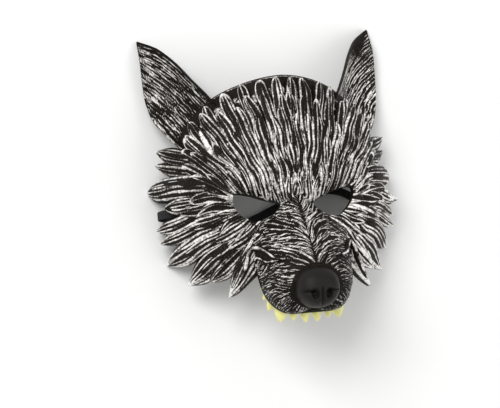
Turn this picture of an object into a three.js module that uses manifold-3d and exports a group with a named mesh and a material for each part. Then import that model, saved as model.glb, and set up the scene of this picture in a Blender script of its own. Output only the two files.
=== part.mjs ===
// A wolf half mask lying face up: a thin moulded shell with muzzle, ears and rows of fur locks, a strip of
// upper teeth behind the lip, and the elastic band that lies slack beneath it.
// Sizes are millimetres. x runs across the mask, y from the muzzle to the ears, z up from the floor that it
// lies on. In the sizes below y counts from the line between the inner eye corners; each mesh is then moved
// by `middle`, so that the origin is on the floor under the middle of the mask. Angles are degrees.
import * as THREE from 'three';
import { mergeVertices } from 'three/addons/utils/BufferGeometryUtils.js';
import Module from 'manifold-3d';

const wasm = await Module();
wasm.setup();

const middle = 25.5;
const wall = 3;
const touchGap = 0.3;
const below = -30;
const floorBlock = { side: 400, depth: 100 };
const eyeHoleDepth = 100;
const weldDistance = 0.001;
const gridStep = 0.01;
const sliver = 1.2;

// The fur radiates from the crown, a point between the brows
const crown = { y: 5, height: 70 };

// Rim of the face plate by angle round the crown, from the muzzle side (-90) to the forehead (90): how far
// out it is, its height over the floor, and how far the surface has turned down there
const rim = {
  angle: [-90, -60, -52, -42, -30, -15, 0, 15, 28, 42, 58, 74, 90],
  reach: [42, 50, 56, 62.5, 66.5, 70, 72.5, 74.5, 79.5, 88, 90, 88, 87],
  height: [62, 57, 50, 38, 27, 24, 27, 24, 23, 28, 38, 53, 62],
  turn: [35, 42, 50, 60, 68, 74, 75, 74, 71, 66, 60, 53, 50],
};

// Hollows and swellings of the face, as centre, spread and rise, the same on both sides
const forms = [
  { x: 28, y: 0, acrossSpread: 16, alongSpread: 11, rise: -13 },
  { x: 24, y: 18, acrossSpread: 17, alongSpread: 8, rise: 4 },
  { x: 50, y: -20, acrossSpread: 15, alongSpread: 13, rise: 4 },
];

// Eye hole outline on one side, seen from the front, going round from the inner corner
const eyeHole = [
  [12, 0], [21, 4.5], [32, 8.5], [43, 9.5], [43, 1], [37, -6.5], [30, -10.5], [22, -9.5], [15.5, -5.5],
];

// Muzzle along y: half width at the lip, height of the bridge and of the lip, squareness of its section
const muzzle = {
  along: [-78, -66, -58, -46, -34, -22, -10, 2, 12],
  halfWidth: [26.5, 29.5, 31.5, 33, 35, 36, 26, 13, 9],
  bridge: [85, 92, 96, 97, 91.5, 84, 76, 70.5, 66],
  lip: [73, 67, 65, 62, 56, 52, 50, 52, 54],
  squareness: [2.6, 2.6, 2.5, 2.3, 2.1, 2, 2, 2, 2],
};
const snoutRound = { start: -62, end: -78, endScale: 0.6, power: 2.6, leastRise: 0.35 };
const snoutInsetFrom = -50;

const nose = { y: -64.5, height: 92, halfWidth: 16, halfLength: 15, depth: 14, squareness: 2.7 };
const noseFacets = 16;
const cutFacets = 8;
const nostril = { x: 6.4, y: -69, height: 103.5, halfWidth: 3.2, halfLength: 3.4, depth: 5 };
const noseGroove = { y: -73, height: 101.5, halfWidth: 1, halfLength: 7, depth: 6 };

// Ear edges from base to tip
const ear = {
  inner: {
    x: [43, 49, 58, 66.5, 76, 87],
    y: [74, 84, 98, 113, 125.5, 135],
    height: [45, 42, 33, 23, 13, 2],
  },
  outer: {
    x: [69, 77, 84.5, 87.4, 88, 87.6],
    y: [48, 60, 76, 94, 114, 134.5],
    height: [29, 22.5, 11, 7.5, 8.5, 2],
  },
  cup: [9, 12, 11, 8, 4, 0.5],
  thickness: 2.6,
};

// Locks that make the zigzag rim: where each tip is, its root as angle and ring, and its size
const rimLocks = [
  { tip: [83, 51, 15], root: [27, 0.7], width: 13, thick: 4 },
  { tip: [87, 41, 9], root: [22, 0.72], width: 13, thick: 4 },
  { tip: [88, 24, -0.8], root: [13, 0.6], width: 19, thick: 5 },
  { tip: [84.5, 8, 28], root: [3, 0.7], width: 12, thick: 4 },
  { tip: [87, -5, 6], root: [-6, 0.7], width: 13, thick: 4.5 },
  { tip: [86, -14, 9], root: [-12, 0.68], width: 11, thick: 4 },
  { tip: [80.5, -28, -0.8], root: [-21, 0.6], width: 19, thick: 5 },
  { tip: [70.5, -46, 14.6], root: [-32, 0.6], width: 19, thick: 5 },
  { tip: [59.5, -46.5, 33.5], root: [-42, 0.7], width: 12, thick: 4 },
  { tip: [50, -60, 48], root: [-48, 0.42], width: 17, thick: 5.5 },
];

// Rows of locks on the face: ring of the tips, length in rings, first and last angle, and their size
const rows = [
  { tip: 0.93, length: 0.43, from: -46, to: 26, count: 5, width: 19, thick: 4, lift: 4.5 },
  { tip: 0.7, length: 0.3, from: -50, to: 32, count: 5, width: 18, thick: 4, lift: 4 },
  { tip: 0.53, length: 0.23, from: -42, to: 24, count: 3, width: 14, thick: 3.4, lift: 2.6 },
  { tip: 1.02, length: 0.42, from: 28, to: 42, count: 3, width: 12, thick: 3.4, lift: 3 },
  { tip: 0.95, length: 0.5, from: 40, to: 88, count: 6, width: 12, thick: 3, lift: 1.6 },
  { tip: 0.74, length: 0.46, from: 34, to: 88, count: 6, width: 12, thick: 3, lift: 1.8 },
  { tip: 0.5, length: 0.42, from: 34, to: 86, count: 4, width: 12, thick: 3, lift: 1.8 },
];

// Each lock points away from a place on the middle line: the crown for the cheeks, below it for the forehead
const fan = { angle: [-60, 0, 14, 26, 90], centre: [0, 0, -0.2, -0.55, -0.62] };

// Teeth of one side from the front: root and tip, with their width
const teeth = [
  { root: [4.1, -71, 70.5], tip: [4.2, -84, 69.4], width: 8.2 },
  { root: [12, -70.5, 70], tip: [12.6, -82, 69], width: 7.4 },
  { root: [19.2, -69, 68], tip: [21.4, -84, 65.5], width: 11 },
  { root: [23.4, -64, 65.4], tip: [27.6, -73, 61], width: 7.6 },
  { root: [24.2, -58, 63], tip: [30, -65, 60], width: 6.8 },
  { root: [25, -53, 61.8], tip: [30.8, -58, 58.8], width: 5.8 },
  { root: [25.6, -48.6, 61.2], tip: [31, -51.6, 57.8], width: 4.8 },
];
const toothFullness = 1.8;
const gum = { height: 7, thickness: 4.4 };

const bandSize = { width: 6, thickness: 1.2, steps: 48 };
const lug = { x: 67, y: 5, length: 9, width: 9, top: 31, bottom: 25.6 };
const bandClearance = { inside: 6, length: 60, depth: 60 };
// One half of the band, from the middle of the floor to its bonded end under the lug
const bandHalf = [
  [0, 5, 0.9], [13.5, 10.5, 0.9], [27, 15, 0.9], [41, 17, 0.9], [54, 14.5, 0.9], [64.5, 8.5, 0.9],
  [74, 5, 0.9], [80.7, 5, 2.5], [85.4, 5, 6.9], [87, 5, 12.8], [85.4, 5, 18.7], [81, 5, 23.1],
  [75, 5, 24.7], [63.5, 5, 24.7],
];

// Smooth curve through stations, held between neighbouring values
function through(positions, values, at) {
  const last = positions.length - 1;
  let i = 0;
  while (i < last - 1 && at > positions[i + 1]) {
    i += 1;
  }
  const slope = (k) => (values[k + 1] - values[k]) / (positions[k + 1] - positions[k]);
  const tangent = (k) => {
    if (k === 0) return slope(0);
    if (k === last) return slope(last - 1);
    const a = slope(k - 1);
    const b = slope(k);
    return a * b <= 0 ? 0 : (2 * a * b) / (a + b);
  };
  const span = positions[i + 1] - positions[i];
  const t = (at - positions[i]) / span;
  const u = 1 - t;
  return values[i] * (1 + 2 * t) * u * u + span * tangent(i) * t * u * u
    + values[i + 1] * (3 - 2 * t) * t * t - span * tangent(i + 1) * t * t * u;
}

// Face plate surface: ring 0 is the crown and 1 the rim; side is 1 or -1
function facePoint(angle, ring, side = 1) {
  const rimTurn = THREE.MathUtils.degToRad(through(rim.angle, rim.turn, angle));
  const turn = rimTurn * ring;
  const out = through(rim.angle, rim.reach, angle) * Math.sin(turn) / Math.sin(rimTurn);
  const fall = (crown.height - through(rim.angle, rim.height, angle)) / (1 - Math.cos(rimTurn));
  const direction = THREE.MathUtils.degToRad(angle);
  const x = out * Math.cos(direction);
  const y = crown.y + out * Math.sin(direction);
  let z = crown.height - fall * (1 - Math.cos(turn));
  for (const form of forms) {
    const across = (x - form.x) / form.acrossSpread;
    const along = (y - form.y) / form.alongSpread;
    z += form.rise * Math.exp(-across * across - along * along);
  }
  return new THREE.Vector3(side * x, y, z);
}

function faceNormal(angle, ring, side = 1) {
  const step = 0.01;
  const safeRing = Math.max(ring, 0.05);
  const here = facePoint(angle, safeRing, side);
  const outward = facePoint(angle, safeRing + step, side).sub(here);
  const turned = angle > 89 ? facePoint(angle - 1, safeRing, side).sub(here).negate()
    : facePoint(angle + 1, safeRing, side).sub(here);
  const normal = outward.cross(turned).normalize();
  return normal.multiplyScalar(side);
}

function welded(geometry) {
  const plain = geometry.clone();
  plain.deleteAttribute('normal');
  plain.deleteAttribute('uv');
  return mergeVertices(plain, weldDistance);
}

function solid(geometry) {
  const merged = welded(geometry);
  const mesh = new wasm.Mesh({
    numProp: 3,
    vertProperties: new Float32Array(merged.attributes.position.array),
    triVerts: new Uint32Array(merged.index.array),
  });
  return new wasm.Manifold(mesh);
}

function plainGeometry(manifold) {
  const mesh = manifold.getMesh();
  const geometry = new THREE.BufferGeometry();
  geometry.setAttribute('position', new THREE.BufferAttribute(mesh.vertProperties, 3));
  geometry.setIndex(new THREE.BufferAttribute(mesh.triVerts, 1));
  return geometry;
}

// Points rounded to a fine grid, so that those that nearly touch become one
function onGrid(geometry) {
  const position = geometry.attributes.position;
  const rounded = (value) => Math.round(value / gridStep) * gridStep;
  for (let i = 0; i < position.count; i += 1) {
    position.setXYZ(i, rounded(position.getX(i)), rounded(position.getY(i)), rounded(position.getZ(i)));
  }
  return geometry;
}

// The outer body of a joined solid, without slivers and the small pockets shut in between locks; what would
// reach below the floor is trimmed flat
function outerBody(manifold) {
  const bodies = solid(onGrid(plainGeometry(manifold.simplify(sliver)))).decompose();
  const largest = bodies.reduce((best, body) => (body.volume() > best.volume() ? body : best));
  const geometry = plainGeometry(largest.subtract(underFloor()));
  geometry.computeVertexNormals();
  return geometry;
}

function underFloor() {
  const block = new THREE.BoxGeometry(floorBlock.side, floorBlock.side, floorBlock.depth);
  block.translate(0, 0, -floorBlock.depth / 2);
  return solid(block);
}

// Closed skin over rings of points: neighbouring rings are joined and both ends are closed by fans
function skin(rings) {
  const count = rings[0].length;
  const points = rings.flat();
  const triangles = [];
  for (let r = 0; r < rings.length - 1; r += 1) {
    for (let k = 0; k < count; k += 1) {
      const a = r * count + k;
      const b = r * count + (k + 1) % count;
      triangles.push(a, b, b + count, a, b + count, a + count);
    }
  }
  [[0, -1], [rings.length - 1, 1]].forEach(([r, facing]) => {
    const centre = rings[r].reduce((sum, p) => sum.add(p), new THREE.Vector3()).divideScalar(count);
    const hub = points.push(centre) - 1;
    for (let k = 0; k < count; k += 1) {
      const a = r * count + k;
      const b = r * count + (k + 1) % count;
      triangles.push(...(facing > 0 ? [a, b, hub] : [b, a, hub]));
    }
  });
  const geometry = new THREE.BufferGeometry();
  const numbers = points.flatMap((p) => [p.x, p.y, p.z]);
  geometry.setAttribute('position', new THREE.Float32BufferAttribute(numbers, 3));
  geometry.setIndex(triangles);
  return geometry;
}

function mirrored(geometry) {
  const copy = welded(geometry);
  copy.scale(-1, 1, 1);
  const index = copy.index.array;
  for (let i = 0; i < index.length; i += 3) {
    [index[i], index[i + 1]] = [index[i + 1], index[i]];
  }
  return copy;
}

// All the way round the crown, as angle and side
function wayRound(stepsPerSide) {
  const way = [];
  for (let k = 0; k < stepsPerSide; k += 1) {
    way.push([-90 + (180 * k) / stepsPerSide, 1]);
  }
  for (let k = 0; k < stepsPerSide; k += 1) {
    way.push([90 - (180 * k) / stepsPerSide, -1]);
  }
  return way;
}

const plateRings = [1, 0.82, 0.64, 0.48, 0.36, 0.25, 0.13, 0.02];
const plateWay = wayRound(16);

function plateRing(ring, depth) {
  return plateWay.map(([angle, side]) => facePoint(angle, ring, side)
    .addScaledVector(faceNormal(angle, ring, side), -depth));
}

// Face plate as a thin sheet, and the room behind it that the face goes into
function facePlate() {
  const outside = plateRings.map((ring) => plateRing(ring, 0));
  const inside = plateRings.map((ring) => plateRing(ring, wall)).reverse();
  return solid(skin([...inside, ...outside]));
}

function faceRoom() {
  const inside = plateRings.map((ring) => plateRing(ring, wall));
  const floor = inside[0].map((p) => new THREE.Vector3(p.x, p.y, below));
  return solid(skin([floor, ...inside]));
}

// Muzzle as a body of cross sections; inset by the wall and run down below the lip it is the muzzle's room
function muzzleBody(inset, bottom, lipDrop = 0) {
  const half = inset > 0 ? 6 : 9;
  const stations = [12, 2, -7, -16, -25, -34, -43, -52, -60, -66, -71, -75, -77.3, -78];
  const rings = stations.map((y) => {
    const roundness = Math.max(0, (snoutRound.start - y) / (snoutRound.start - snoutRound.end));
    const scale = snoutRound.endScale
      + (1 - snoutRound.endScale) * (1 - roundness ** snoutRound.power) ** (1 / snoutRound.power);
    const wide = through(muzzle.along, muzzle.halfWidth, y) * scale - inset;
    const lip = through(muzzle.along, muzzle.lip, y) - lipDrop;
    const riseScale = snoutRound.leastRise + (1 - snoutRound.leastRise) * scale;
    const rise = (through(muzzle.along, muzzle.bridge, y) - lip) * riseScale - inset;
    const power = 2 / through(muzzle.along, muzzle.squareness, y);
    const along = y < snoutInsetFrom ? y + inset : y;
    const ring = [];
    for (let k = 0; k <= 2 * half; k += 1) {
      const a = (Math.PI * k) / (2 * half);
      const across = Math.sign(Math.cos(a)) * Math.abs(Math.cos(a)) ** power;
      ring.push(new THREE.Vector3(wide * across, along, lip + rise * Math.sin(a) ** power));
    }
    if (bottom !== undefined) {
      ring.push(new THREE.Vector3(-wide, along, bottom), new THREE.Vector3(wide, along, bottom));
    }
    return ring;
  });
  return solid(skin(rings));
}

function ellipsoid(x, { y, height, halfWidth, halfLength, depth, squareness = 2 }, facets) {
  const ball = new THREE.SphereGeometry(1, facets, Math.round(facets * 0.6));
  const position = ball.attributes.position;
  for (let i = 0; i < position.count; i += 1) {
    const p = new THREE.Vector3().fromBufferAttribute(position, i);
    const sum = Math.abs(p.x) ** squareness + Math.abs(p.y) ** squareness + Math.abs(p.z) ** squareness;
    p.divideScalar(sum ** (1 / squareness));
    position.setXYZ(i, x + p.x * halfWidth, y + p.y * halfLength, height + p.z * depth);
  }
  return solid(ball);
}

// Ear as a cupped leaf of even thickness
function earBody() {
  const place = [0, 0.2, 0.4, 0.6, 0.8, 1];
  const edge = (side, s) => new THREE.Vector3(
    through(place, side.x, s), through(place, side.y, s), through(place, side.height, s));
  const across = [0, 0.15, 0.35, 0.6, 0.85, 1];
  const rings = [0, 0.12, 0.25, 0.4, 0.55, 0.7, 0.86, 1].map((s) => {
    const inner = edge(ear.inner, s);
    const outer = edge(ear.outer, s);
    const width = outer.clone().sub(inner);
    const along = edge(ear.inner, Math.min(1, s + 0.02)).sub(edge(ear.inner, Math.max(0, s - 0.02)));
    const back = along.cross(width).normalize();
    if (back.z > 0) back.negate();
    const depth = through(place, ear.cup, s);
    const front = across.map((t) => inner.clone().addScaledVector(width, t)
      .addScaledVector(back, depth * (1 - (2 * t - 1) ** 2)));
    const rear = front.map((p) => p.clone().addScaledVector(back, ear.thickness)).reverse();
    return [...front, ...rear];
  });
  return skin(rings);
}

// One lock: a leaf with a rounded ridge that follows a route from its root to its tip. At each point `deep`
// says how far its underside goes down: into the face plate, or only its own thickness where it stands free
const intoPlate = [6, 6, 6, 6];
const freeOfRim = [5, 3.4, 1.8, 0.8];
const lockStations = [0, 0.5, 0.82, 1];
const bluntWidths = [0.75, 1, 0.85, 0.4];
const pointedWidths = [0.75, 1, 0.78, 0.2];

function lockBody(route, ups, { width, thick }, widths, deep) {
  const rings = route.map((point, k) => {
    const along = route[Math.min(k + 1, route.length - 1)].clone().sub(route[Math.max(k - 1, 0)]);
    const across = ups[k].clone().cross(along).normalize();
    const rise = along.clone().cross(across).normalize();
    const half = (width / 2) * widths[k];
    const high = thick * (k === 0 ? 0 : 0.5 + 0.5 * widths[k]);
    return [[1, -deep[k]], [0.92, high * 0.15], [0, high], [-0.92, high * 0.15], [-1, -deep[k]]]
      .map(([s, h]) => point.clone().addScaledVector(across, half * s).addScaledVector(rise, h));
  });
  return skin(rings);
}

function faceLock(row, tipAngle, tipRing) {
  const direction = THREE.MathUtils.degToRad(tipAngle);
  const tip = new THREE.Vector2(Math.cos(direction), Math.sin(direction)).multiplyScalar(tipRing);
  const centre = new THREE.Vector2(0, through(fan.angle, fan.centre, tipAngle));
  const root = centre.sub(tip).setLength(row.length).add(tip);
  const place = lockStations.map((t) => {
    const at = root.clone().lerp(tip, t);
    return [THREE.MathUtils.radToDeg(Math.atan2(at.y, at.x)), at.length(), row.lift * t * t];
  });
  const ups = place.map(([angle, ring]) => faceNormal(angle, ring));
  const route = place.map(([angle, ring, lift], k) => facePoint(angle, ring)
    .addScaledVector(ups[k], lift));
  return lockBody(route, ups, row, bluntWidths, intoPlate);
}

function rimLock(lock) {
  const [angle, ring] = lock.root;
  const tip = new THREE.Vector3(...lock.tip);
  const tipAngle = THREE.MathUtils.radToDeg(Math.atan2(tip.y - crown.y, tip.x));
  const halfway = [(angle + tipAngle) / 2, (ring + 1) / 2];
  const bend = facePoint(...halfway).addScaledVector(faceNormal(...halfway), lock.thick * 0.4);
  const spine = new THREE.CatmullRomCurve3([facePoint(angle, ring), bend, tip]);
  const rootUp = faceNormal(angle, ring);
  const tipUp = faceNormal(tipAngle, 1);
  const ups = lockStations.map((t) => rootUp.clone().lerp(tipUp, t));
  return lockBody(lockStations.map((t) => spine.getPoint(t)), ups, lock, pointedWidths, freeOfRim);
}

// Small regular unevenness, so that no two neighbouring locks are alike
function uneven(k, size) {
  return size * Math.sin(k * 2.4 + 0.7 * size);
}

function locks() {
  const made = rimLocks.map(rimLock);
  rows.forEach((row, r) => {
    for (let k = 0; k < row.count; k += 1) {
      const angle = row.from + ((row.to - row.from) * k) / (row.count - 1) + uneven(k + r, 2);
      made.push(faceLock(row, Math.min(89, angle), row.tip + uneven(2 * k + r, 0.035)));
    }
  });
  return made;
}

function join(solids) {
  return solids.reduce((whole, part) => whole.add(part));
}

function bothSides(geometry) {
  return [solid(geometry), solid(mirrored(geometry))];
}

function eyeHoleBody() {
  const outline = new THREE.Shape(eyeHole.map(([x, y]) => new THREE.Vector2(x, y)));
  return new THREE.ExtrudeGeometry(outline, { depth: eyeHoleDepth, bevelEnabled: false });
}

function lugBody() {
  const box = new THREE.BoxGeometry(lug.length, lug.width, lug.top - lug.bottom);
  box.translate(lug.x, lug.y, (lug.top + lug.bottom) / 2);
  return box;
}

// Clear way out for the band, from inside the lug to past the rim locks
function bandWay() {
  const box = new THREE.BoxGeometry(bandClearance.length, lug.width, bandClearance.depth);
  const inner = lug.x - bandClearance.inside;
  box.translate(inner + bandClearance.length / 2, lug.y, lug.bottom - bandClearance.depth / 2);
  return box;
}

function maskShell() {
  const outside = join([
    facePlate(), muzzleBody(0), ellipsoid(0, nose, noseFacets), ...bothSides(earBody()),
    ...locks().flatMap(bothSides),
  ]);
  const cuts = [
    faceRoom(), muzzleBody(wall, below), ...bothSides(eyeHoleBody()), ...bothSides(bandWay()),
    ellipsoid(-nostril.x, nostril, cutFacets), ellipsoid(nostril.x, nostril, cutFacets),
    ellipsoid(0, noseGroove, cutFacets),
  ];
  const hollow = cuts.reduce((rest, cut) => rest.subtract(cut), outside);
  return join([hollow, ...bothSides(lugBody())]);
}

function toothBody({ root, tip, width }) {
  const cone = new THREE.ConeGeometry(width / 2, 1, 5, 2);
  const position = cone.attributes.position;
  for (let i = 0; i < position.count; i += 1) {
    const fullness = Math.abs(position.getY(i)) < 0.1 ? toothFullness : 1;
    position.setX(i, position.getX(i) * fullness);
    position.setZ(i, position.getZ(i) * fullness * 0.8);
  }
  const from = new THREE.Vector3(...root);
  const to = new THREE.Vector3(...tip);
  const length = from.distanceTo(to);
  cone.scale(1, length, 1);
  cone.translate(0, length / 2, 0);
  cone.applyQuaternion(new THREE.Quaternion().setFromUnitVectors(
    new THREE.Vector3(0, 1, 0), to.clone().sub(from).normalize()));
  cone.translate(from.x, from.y, from.z);
  return cone;
}

// Gum bar that follows the roots round the muzzle
function gumBar() {
  const half = teeth.map(({ root }) => new THREE.Vector3(...root));
  const left = half.map((p) => new THREE.Vector3(-p.x, p.y, p.z)).reverse();
  const route = new THREE.CatmullRomCurve3([...left, ...half]);
  const steps = 16;
  const rings = [];
  for (let k = 0; k <= steps; k += 1) {
    const point = route.getPointAt(k / steps);
    const along = route.getTangentAt(k / steps);
    const inward = new THREE.Vector3(0, 0, 1).cross(along).normalize();
    const corner = (s, h) => point.clone().addScaledVector(inward, s * gum.thickness / 2)
      .add(new THREE.Vector3(0, 0, h * gum.height / 2));
    rings.push([corner(-1, -1), corner(1, -1), corner(1, 1), corner(-1, 1)]);
  }
  return skin(rings);
}

function upperTeeth() {
  const strip = join([solid(gumBar()), ...teeth.flatMap((tooth) => bothSides(toothBody(tooth)))]);
  const lipWall = muzzleBody(-touchGap, undefined, touchGap).subtract(muzzleBody(wall + touchGap, below));
  return strip.subtract(lipWall);
}

function elasticBand() {
  const right = bandHalf.map(([x, y, z]) => new THREE.Vector3(x, y, z));
  const left = bandHalf.slice(1).map(([x, y, z]) => new THREE.Vector3(-x, 2 * lug.y - y, z)).reverse();
  const route = new THREE.CatmullRomCurve3([...left, ...right]);
  const outline = new THREE.Shape([
    new THREE.Vector2(-bandSize.width / 2, -bandSize.thickness / 2),
    new THREE.Vector2(bandSize.width / 2, -bandSize.thickness / 2),
    new THREE.Vector2(bandSize.width / 2, bandSize.thickness / 2),
    new THREE.Vector2(-bandSize.width / 2, bandSize.thickness / 2),
  ]);
  return new THREE.ExtrudeGeometry(outline, { steps: bandSize.steps, extrudePath: route });
}

function named(name, geometry, color, roughness) {
  const mesh = new THREE.Mesh(geometry, new THREE.MeshStandardMaterial({ color, roughness, metalness: 0 }));
  mesh.name = name;
  mesh.position.y = -middle;
  return mesh;
}

const shell = maskShell();
const mask = new THREE.Group();
mask.add(
  named('mask_shell', outerBody(shell), '#3a3a3a', 0.6),
  named('upper_teeth', outerBody(upperTeeth()), '#dcd48a', 0.35),
  named('elastic_band', elasticBand(), '#111111', 0.9),
);

export default mask;
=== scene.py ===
import math
import bmesh
import bpy
import numpy as np
from mathutils import Matrix, Vector


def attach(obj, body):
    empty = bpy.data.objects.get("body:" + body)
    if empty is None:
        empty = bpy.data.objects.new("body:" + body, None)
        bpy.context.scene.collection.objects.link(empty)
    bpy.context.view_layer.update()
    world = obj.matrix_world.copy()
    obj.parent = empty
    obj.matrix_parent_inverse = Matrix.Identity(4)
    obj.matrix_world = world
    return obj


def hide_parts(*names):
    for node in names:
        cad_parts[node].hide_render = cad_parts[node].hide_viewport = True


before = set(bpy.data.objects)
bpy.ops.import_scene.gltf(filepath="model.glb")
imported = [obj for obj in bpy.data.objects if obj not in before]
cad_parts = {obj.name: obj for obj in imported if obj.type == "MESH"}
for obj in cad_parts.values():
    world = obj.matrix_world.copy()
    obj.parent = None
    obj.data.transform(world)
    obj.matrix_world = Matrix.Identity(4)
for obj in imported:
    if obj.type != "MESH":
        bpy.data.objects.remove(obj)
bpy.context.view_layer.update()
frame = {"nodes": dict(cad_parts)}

# A wolf half mask lying face up. The sculpt is worked out in millimetres, with y counted from the line
# between the inner corners of the eye holes, and toScene turns that into the metres of the frame
middle = 25.5
print("frame loaded:", ", ".join(frame["nodes"]))


def toScene(points):
    moved = np.array(points, float).reshape(-1, 3)
    moved[:, 1] -= middle
    return moved * 0.001


def unit(vectors):
    return vectors / np.maximum(np.linalg.norm(vectors, axis=-1, keepdims=True), 1e-9)


def smooth(low, high, value):
    t = np.clip((value - low) / (high - low), 0, 1)
    return t * t * (3 - 2 * t)


# Camera at the photograph's angle
photoView = {
    "place": (-0.4135, -0.2305, 1.4841),
    "right": (0.964, -0.1092, 0.2424),
    "up": (0.0707, 0.9842, 0.1622),
    "back": (-0.2563, -0.1392, 0.9565),
    "lens": 154.5,
    "sensor": 36,
    "farthest": 20,
}


def addCamera(s):
    data = bpy.data.cameras.new("photoCamera")
    data.lens = s["lens"]
    data.sensor_width = s["sensor"]
    data.clip_end = s["farthest"]
    camera = bpy.data.objects.new("photoCamera", data)
    bpy.context.scene.collection.objects.link(camera)
    columns = [s[k] for k in ("right", "up", "back", "place")]
    camera.matrix_world = Matrix([[column[i] for column in columns] for i in range(3)] + [(0, 0, 0, 1)])
    bpy.context.scene.camera = camera


addCamera(photoView)
print("camera placed")


# Helpers for meshes and materials
def makeMesh(name, points, faces, relief=None, finish=None, mirror=False):
    # relief is the crest (0 in a groove, 1 on a ridge) and the paint it takes, finish is nose and inside
    points = toScene(points)
    if mirror:
        points[:, 0] *= -1
        faces = turned(faces)
    mesh = bpy.data.meshes.new(name)
    mesh.from_pydata(points.tolist(), [], faces)
    corner = np.empty(len(mesh.loops), int)
    mesh.loops.foreach_get("vertex_index", corner)
    for layer, values in (("relief", relief), ("finish", finish)):
        values = np.zeros((len(points), 2)) if values is None else np.asarray(values, float)
        mesh.uv_layers.new(name=layer).data.foreach_set("uv", values[corner].ravel())
    return bpy.data.objects.new(name, mesh)


def tubeFaces(rings, around):
    # faces over rings of points in one list; the ends are closed by one face each
    faces = []
    for r in range(rings - 1):
        for k in range(around):
            a = r * around + k
            b = r * around + (k + 1) % around
            faces.append((a, b, b + around, a + around))
    faces.append(tuple(range(around - 1, -1, -1)))
    faces.append(tuple(range((rings - 1) * around, rings * around)))
    return faces


def turned(faces):
    return [face[::-1] for face in faces]


class Nodes:
    # short way to lay out a material
    def __init__(self, name):
        self.material = bpy.data.materials.new(name)
        self.material.use_nodes = True
        self.tree = self.material.node_tree
        self.shader = self.tree.nodes["Principled BSDF"]

    def add(self, kind, links=(), **settings):
        node = self.tree.nodes.new(kind)
        for key, value in settings.items():
            setattr(node, key, value)
        for socket, value in links:
            self.put(node, socket, value)
        return node

    def put(self, node, socket, value):
        if isinstance(value, bpy.types.NodeSocket):
            self.tree.links.new(value, node.inputs[socket])
        else:
            node.inputs[socket].default_value = value

    def math(self, operation, first, second=0.0, clamp=False):
        links = [(0, first)] if second is None else [(0, first), (1, second)]
        return self.add("ShaderNodeMath", links, operation=operation, use_clamp=clamp).outputs[0]

    def noise(self, place, scale, detail=3.0, rough=0.5):
        links = [("Vector", place), ("Scale", scale), ("Detail", detail), ("Roughness", rough)]
        return self.add("ShaderNodeTexNoise", links).outputs[0]

    def step(self, value, low, high):
        links = [("Value", value), ("From Min", low), ("From Max", high)]
        return self.add("ShaderNodeMapRange", links, interpolation_type="SMOOTHSTEP").outputs[0]

    def mix(self, factor, first, second):
        node = self.add("ShaderNodeMix", [(0, factor), (6, first), (7, second)], data_type="RGBA")
        return node.outputs[2]

    def shifted(self, value, by, middle, share):
        # value plus its share of how far by is from the middle
        return self.math("ADD", value, self.math("MULTIPLY", self.math("SUBTRACT", by, middle), share))

    def layer(self, name):
        both = self.add("ShaderNodeSeparateXYZ", [(0, self.add("ShaderNodeUVMap", uv_map=name).outputs[0])])
        return both.outputs[0], both.outputs[1]

    def bump(self, height, strength, distance):
        links = [("Height", height), ("Strength", strength), ("Distance", distance)]
        return self.add("ShaderNodeBump", links).outputs[0]


# Elastic band
elastic = {
    # one half of the route, from the middle of the floor to the bonded end under the lug, in millimetres
    "half": [
        (0, 5, 0.9), (13.5, 10.5, 0.9), (27, 15, 0.9), (41, 17, 0.9), (54, 14.5, 0.9), (64.5, 8.5, 0.9),
        (74, 5, 0.9), (80.7, 5, 2.5), (85.4, 5, 6.9), (87, 5, 12.8), (85.4, 5, 18.7), (81, 5, 23.1),
        (75, 5, 24.7), (63.5, 5, 24.7),
    ],
    "middleAlong": 5,
    "width": 6.0,
    "thickness": 1.1,
    "steps": 150,
    "pathEvery": 3,
    "ribs": 7,
    "ribHeight": 0.12,
    # how round the selvedges are, and how close to the edge the rounding starts
    "selvedge": (0.75, 8),
    "colour": (0.008, 0.008, 0.009, 1),
    "fuzzColour": (0.035, 0.034, 0.036, 1),
    "knitScale": 260.0,
    "fuzzScale": 2600.0,
    "roughness": 0.88,
}


def smoothRoute(points, steps):
    # centripetal curve through all the points, then points at even distances along it
    p = np.array(points, float)
    p = np.vstack([2 * p[0] - p[1], p, 2 * p[-1] - p[-2]])
    fine = []
    for i in range(1, len(p) - 2):
        knots = [0.0]
        for k in range(i - 1, i + 2):
            knots.append(knots[-1] + max(np.linalg.norm(p[k + 1] - p[k]), 1e-6) ** 0.5)
        t = np.linspace(knots[1], knots[2], 24, endpoint=i == len(p) - 3)[:, None]

        def between(a, b, low, high):
            return (a * (high - t) + b * (t - low)) / (high - low)

        one = between(p[i - 1], p[i], knots[0], knots[1])
        two = between(p[i], p[i + 1], knots[1], knots[2])
        three = between(p[i + 1], p[i + 2], knots[2], knots[3])
        early = between(one, two, knots[0], knots[2])
        late = between(two, three, knots[1], knots[3])
        fine.append(between(early, late, knots[1], knots[2]))
    fine = np.vstack(fine)
    far = np.concatenate([[0], np.cumsum(np.linalg.norm(np.diff(fine, axis=0), axis=1))])
    at = np.linspace(0, far[-1], steps + 1)
    return np.stack([np.interp(at, far, fine[:, k]) for k in range(3)], 1)


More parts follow.
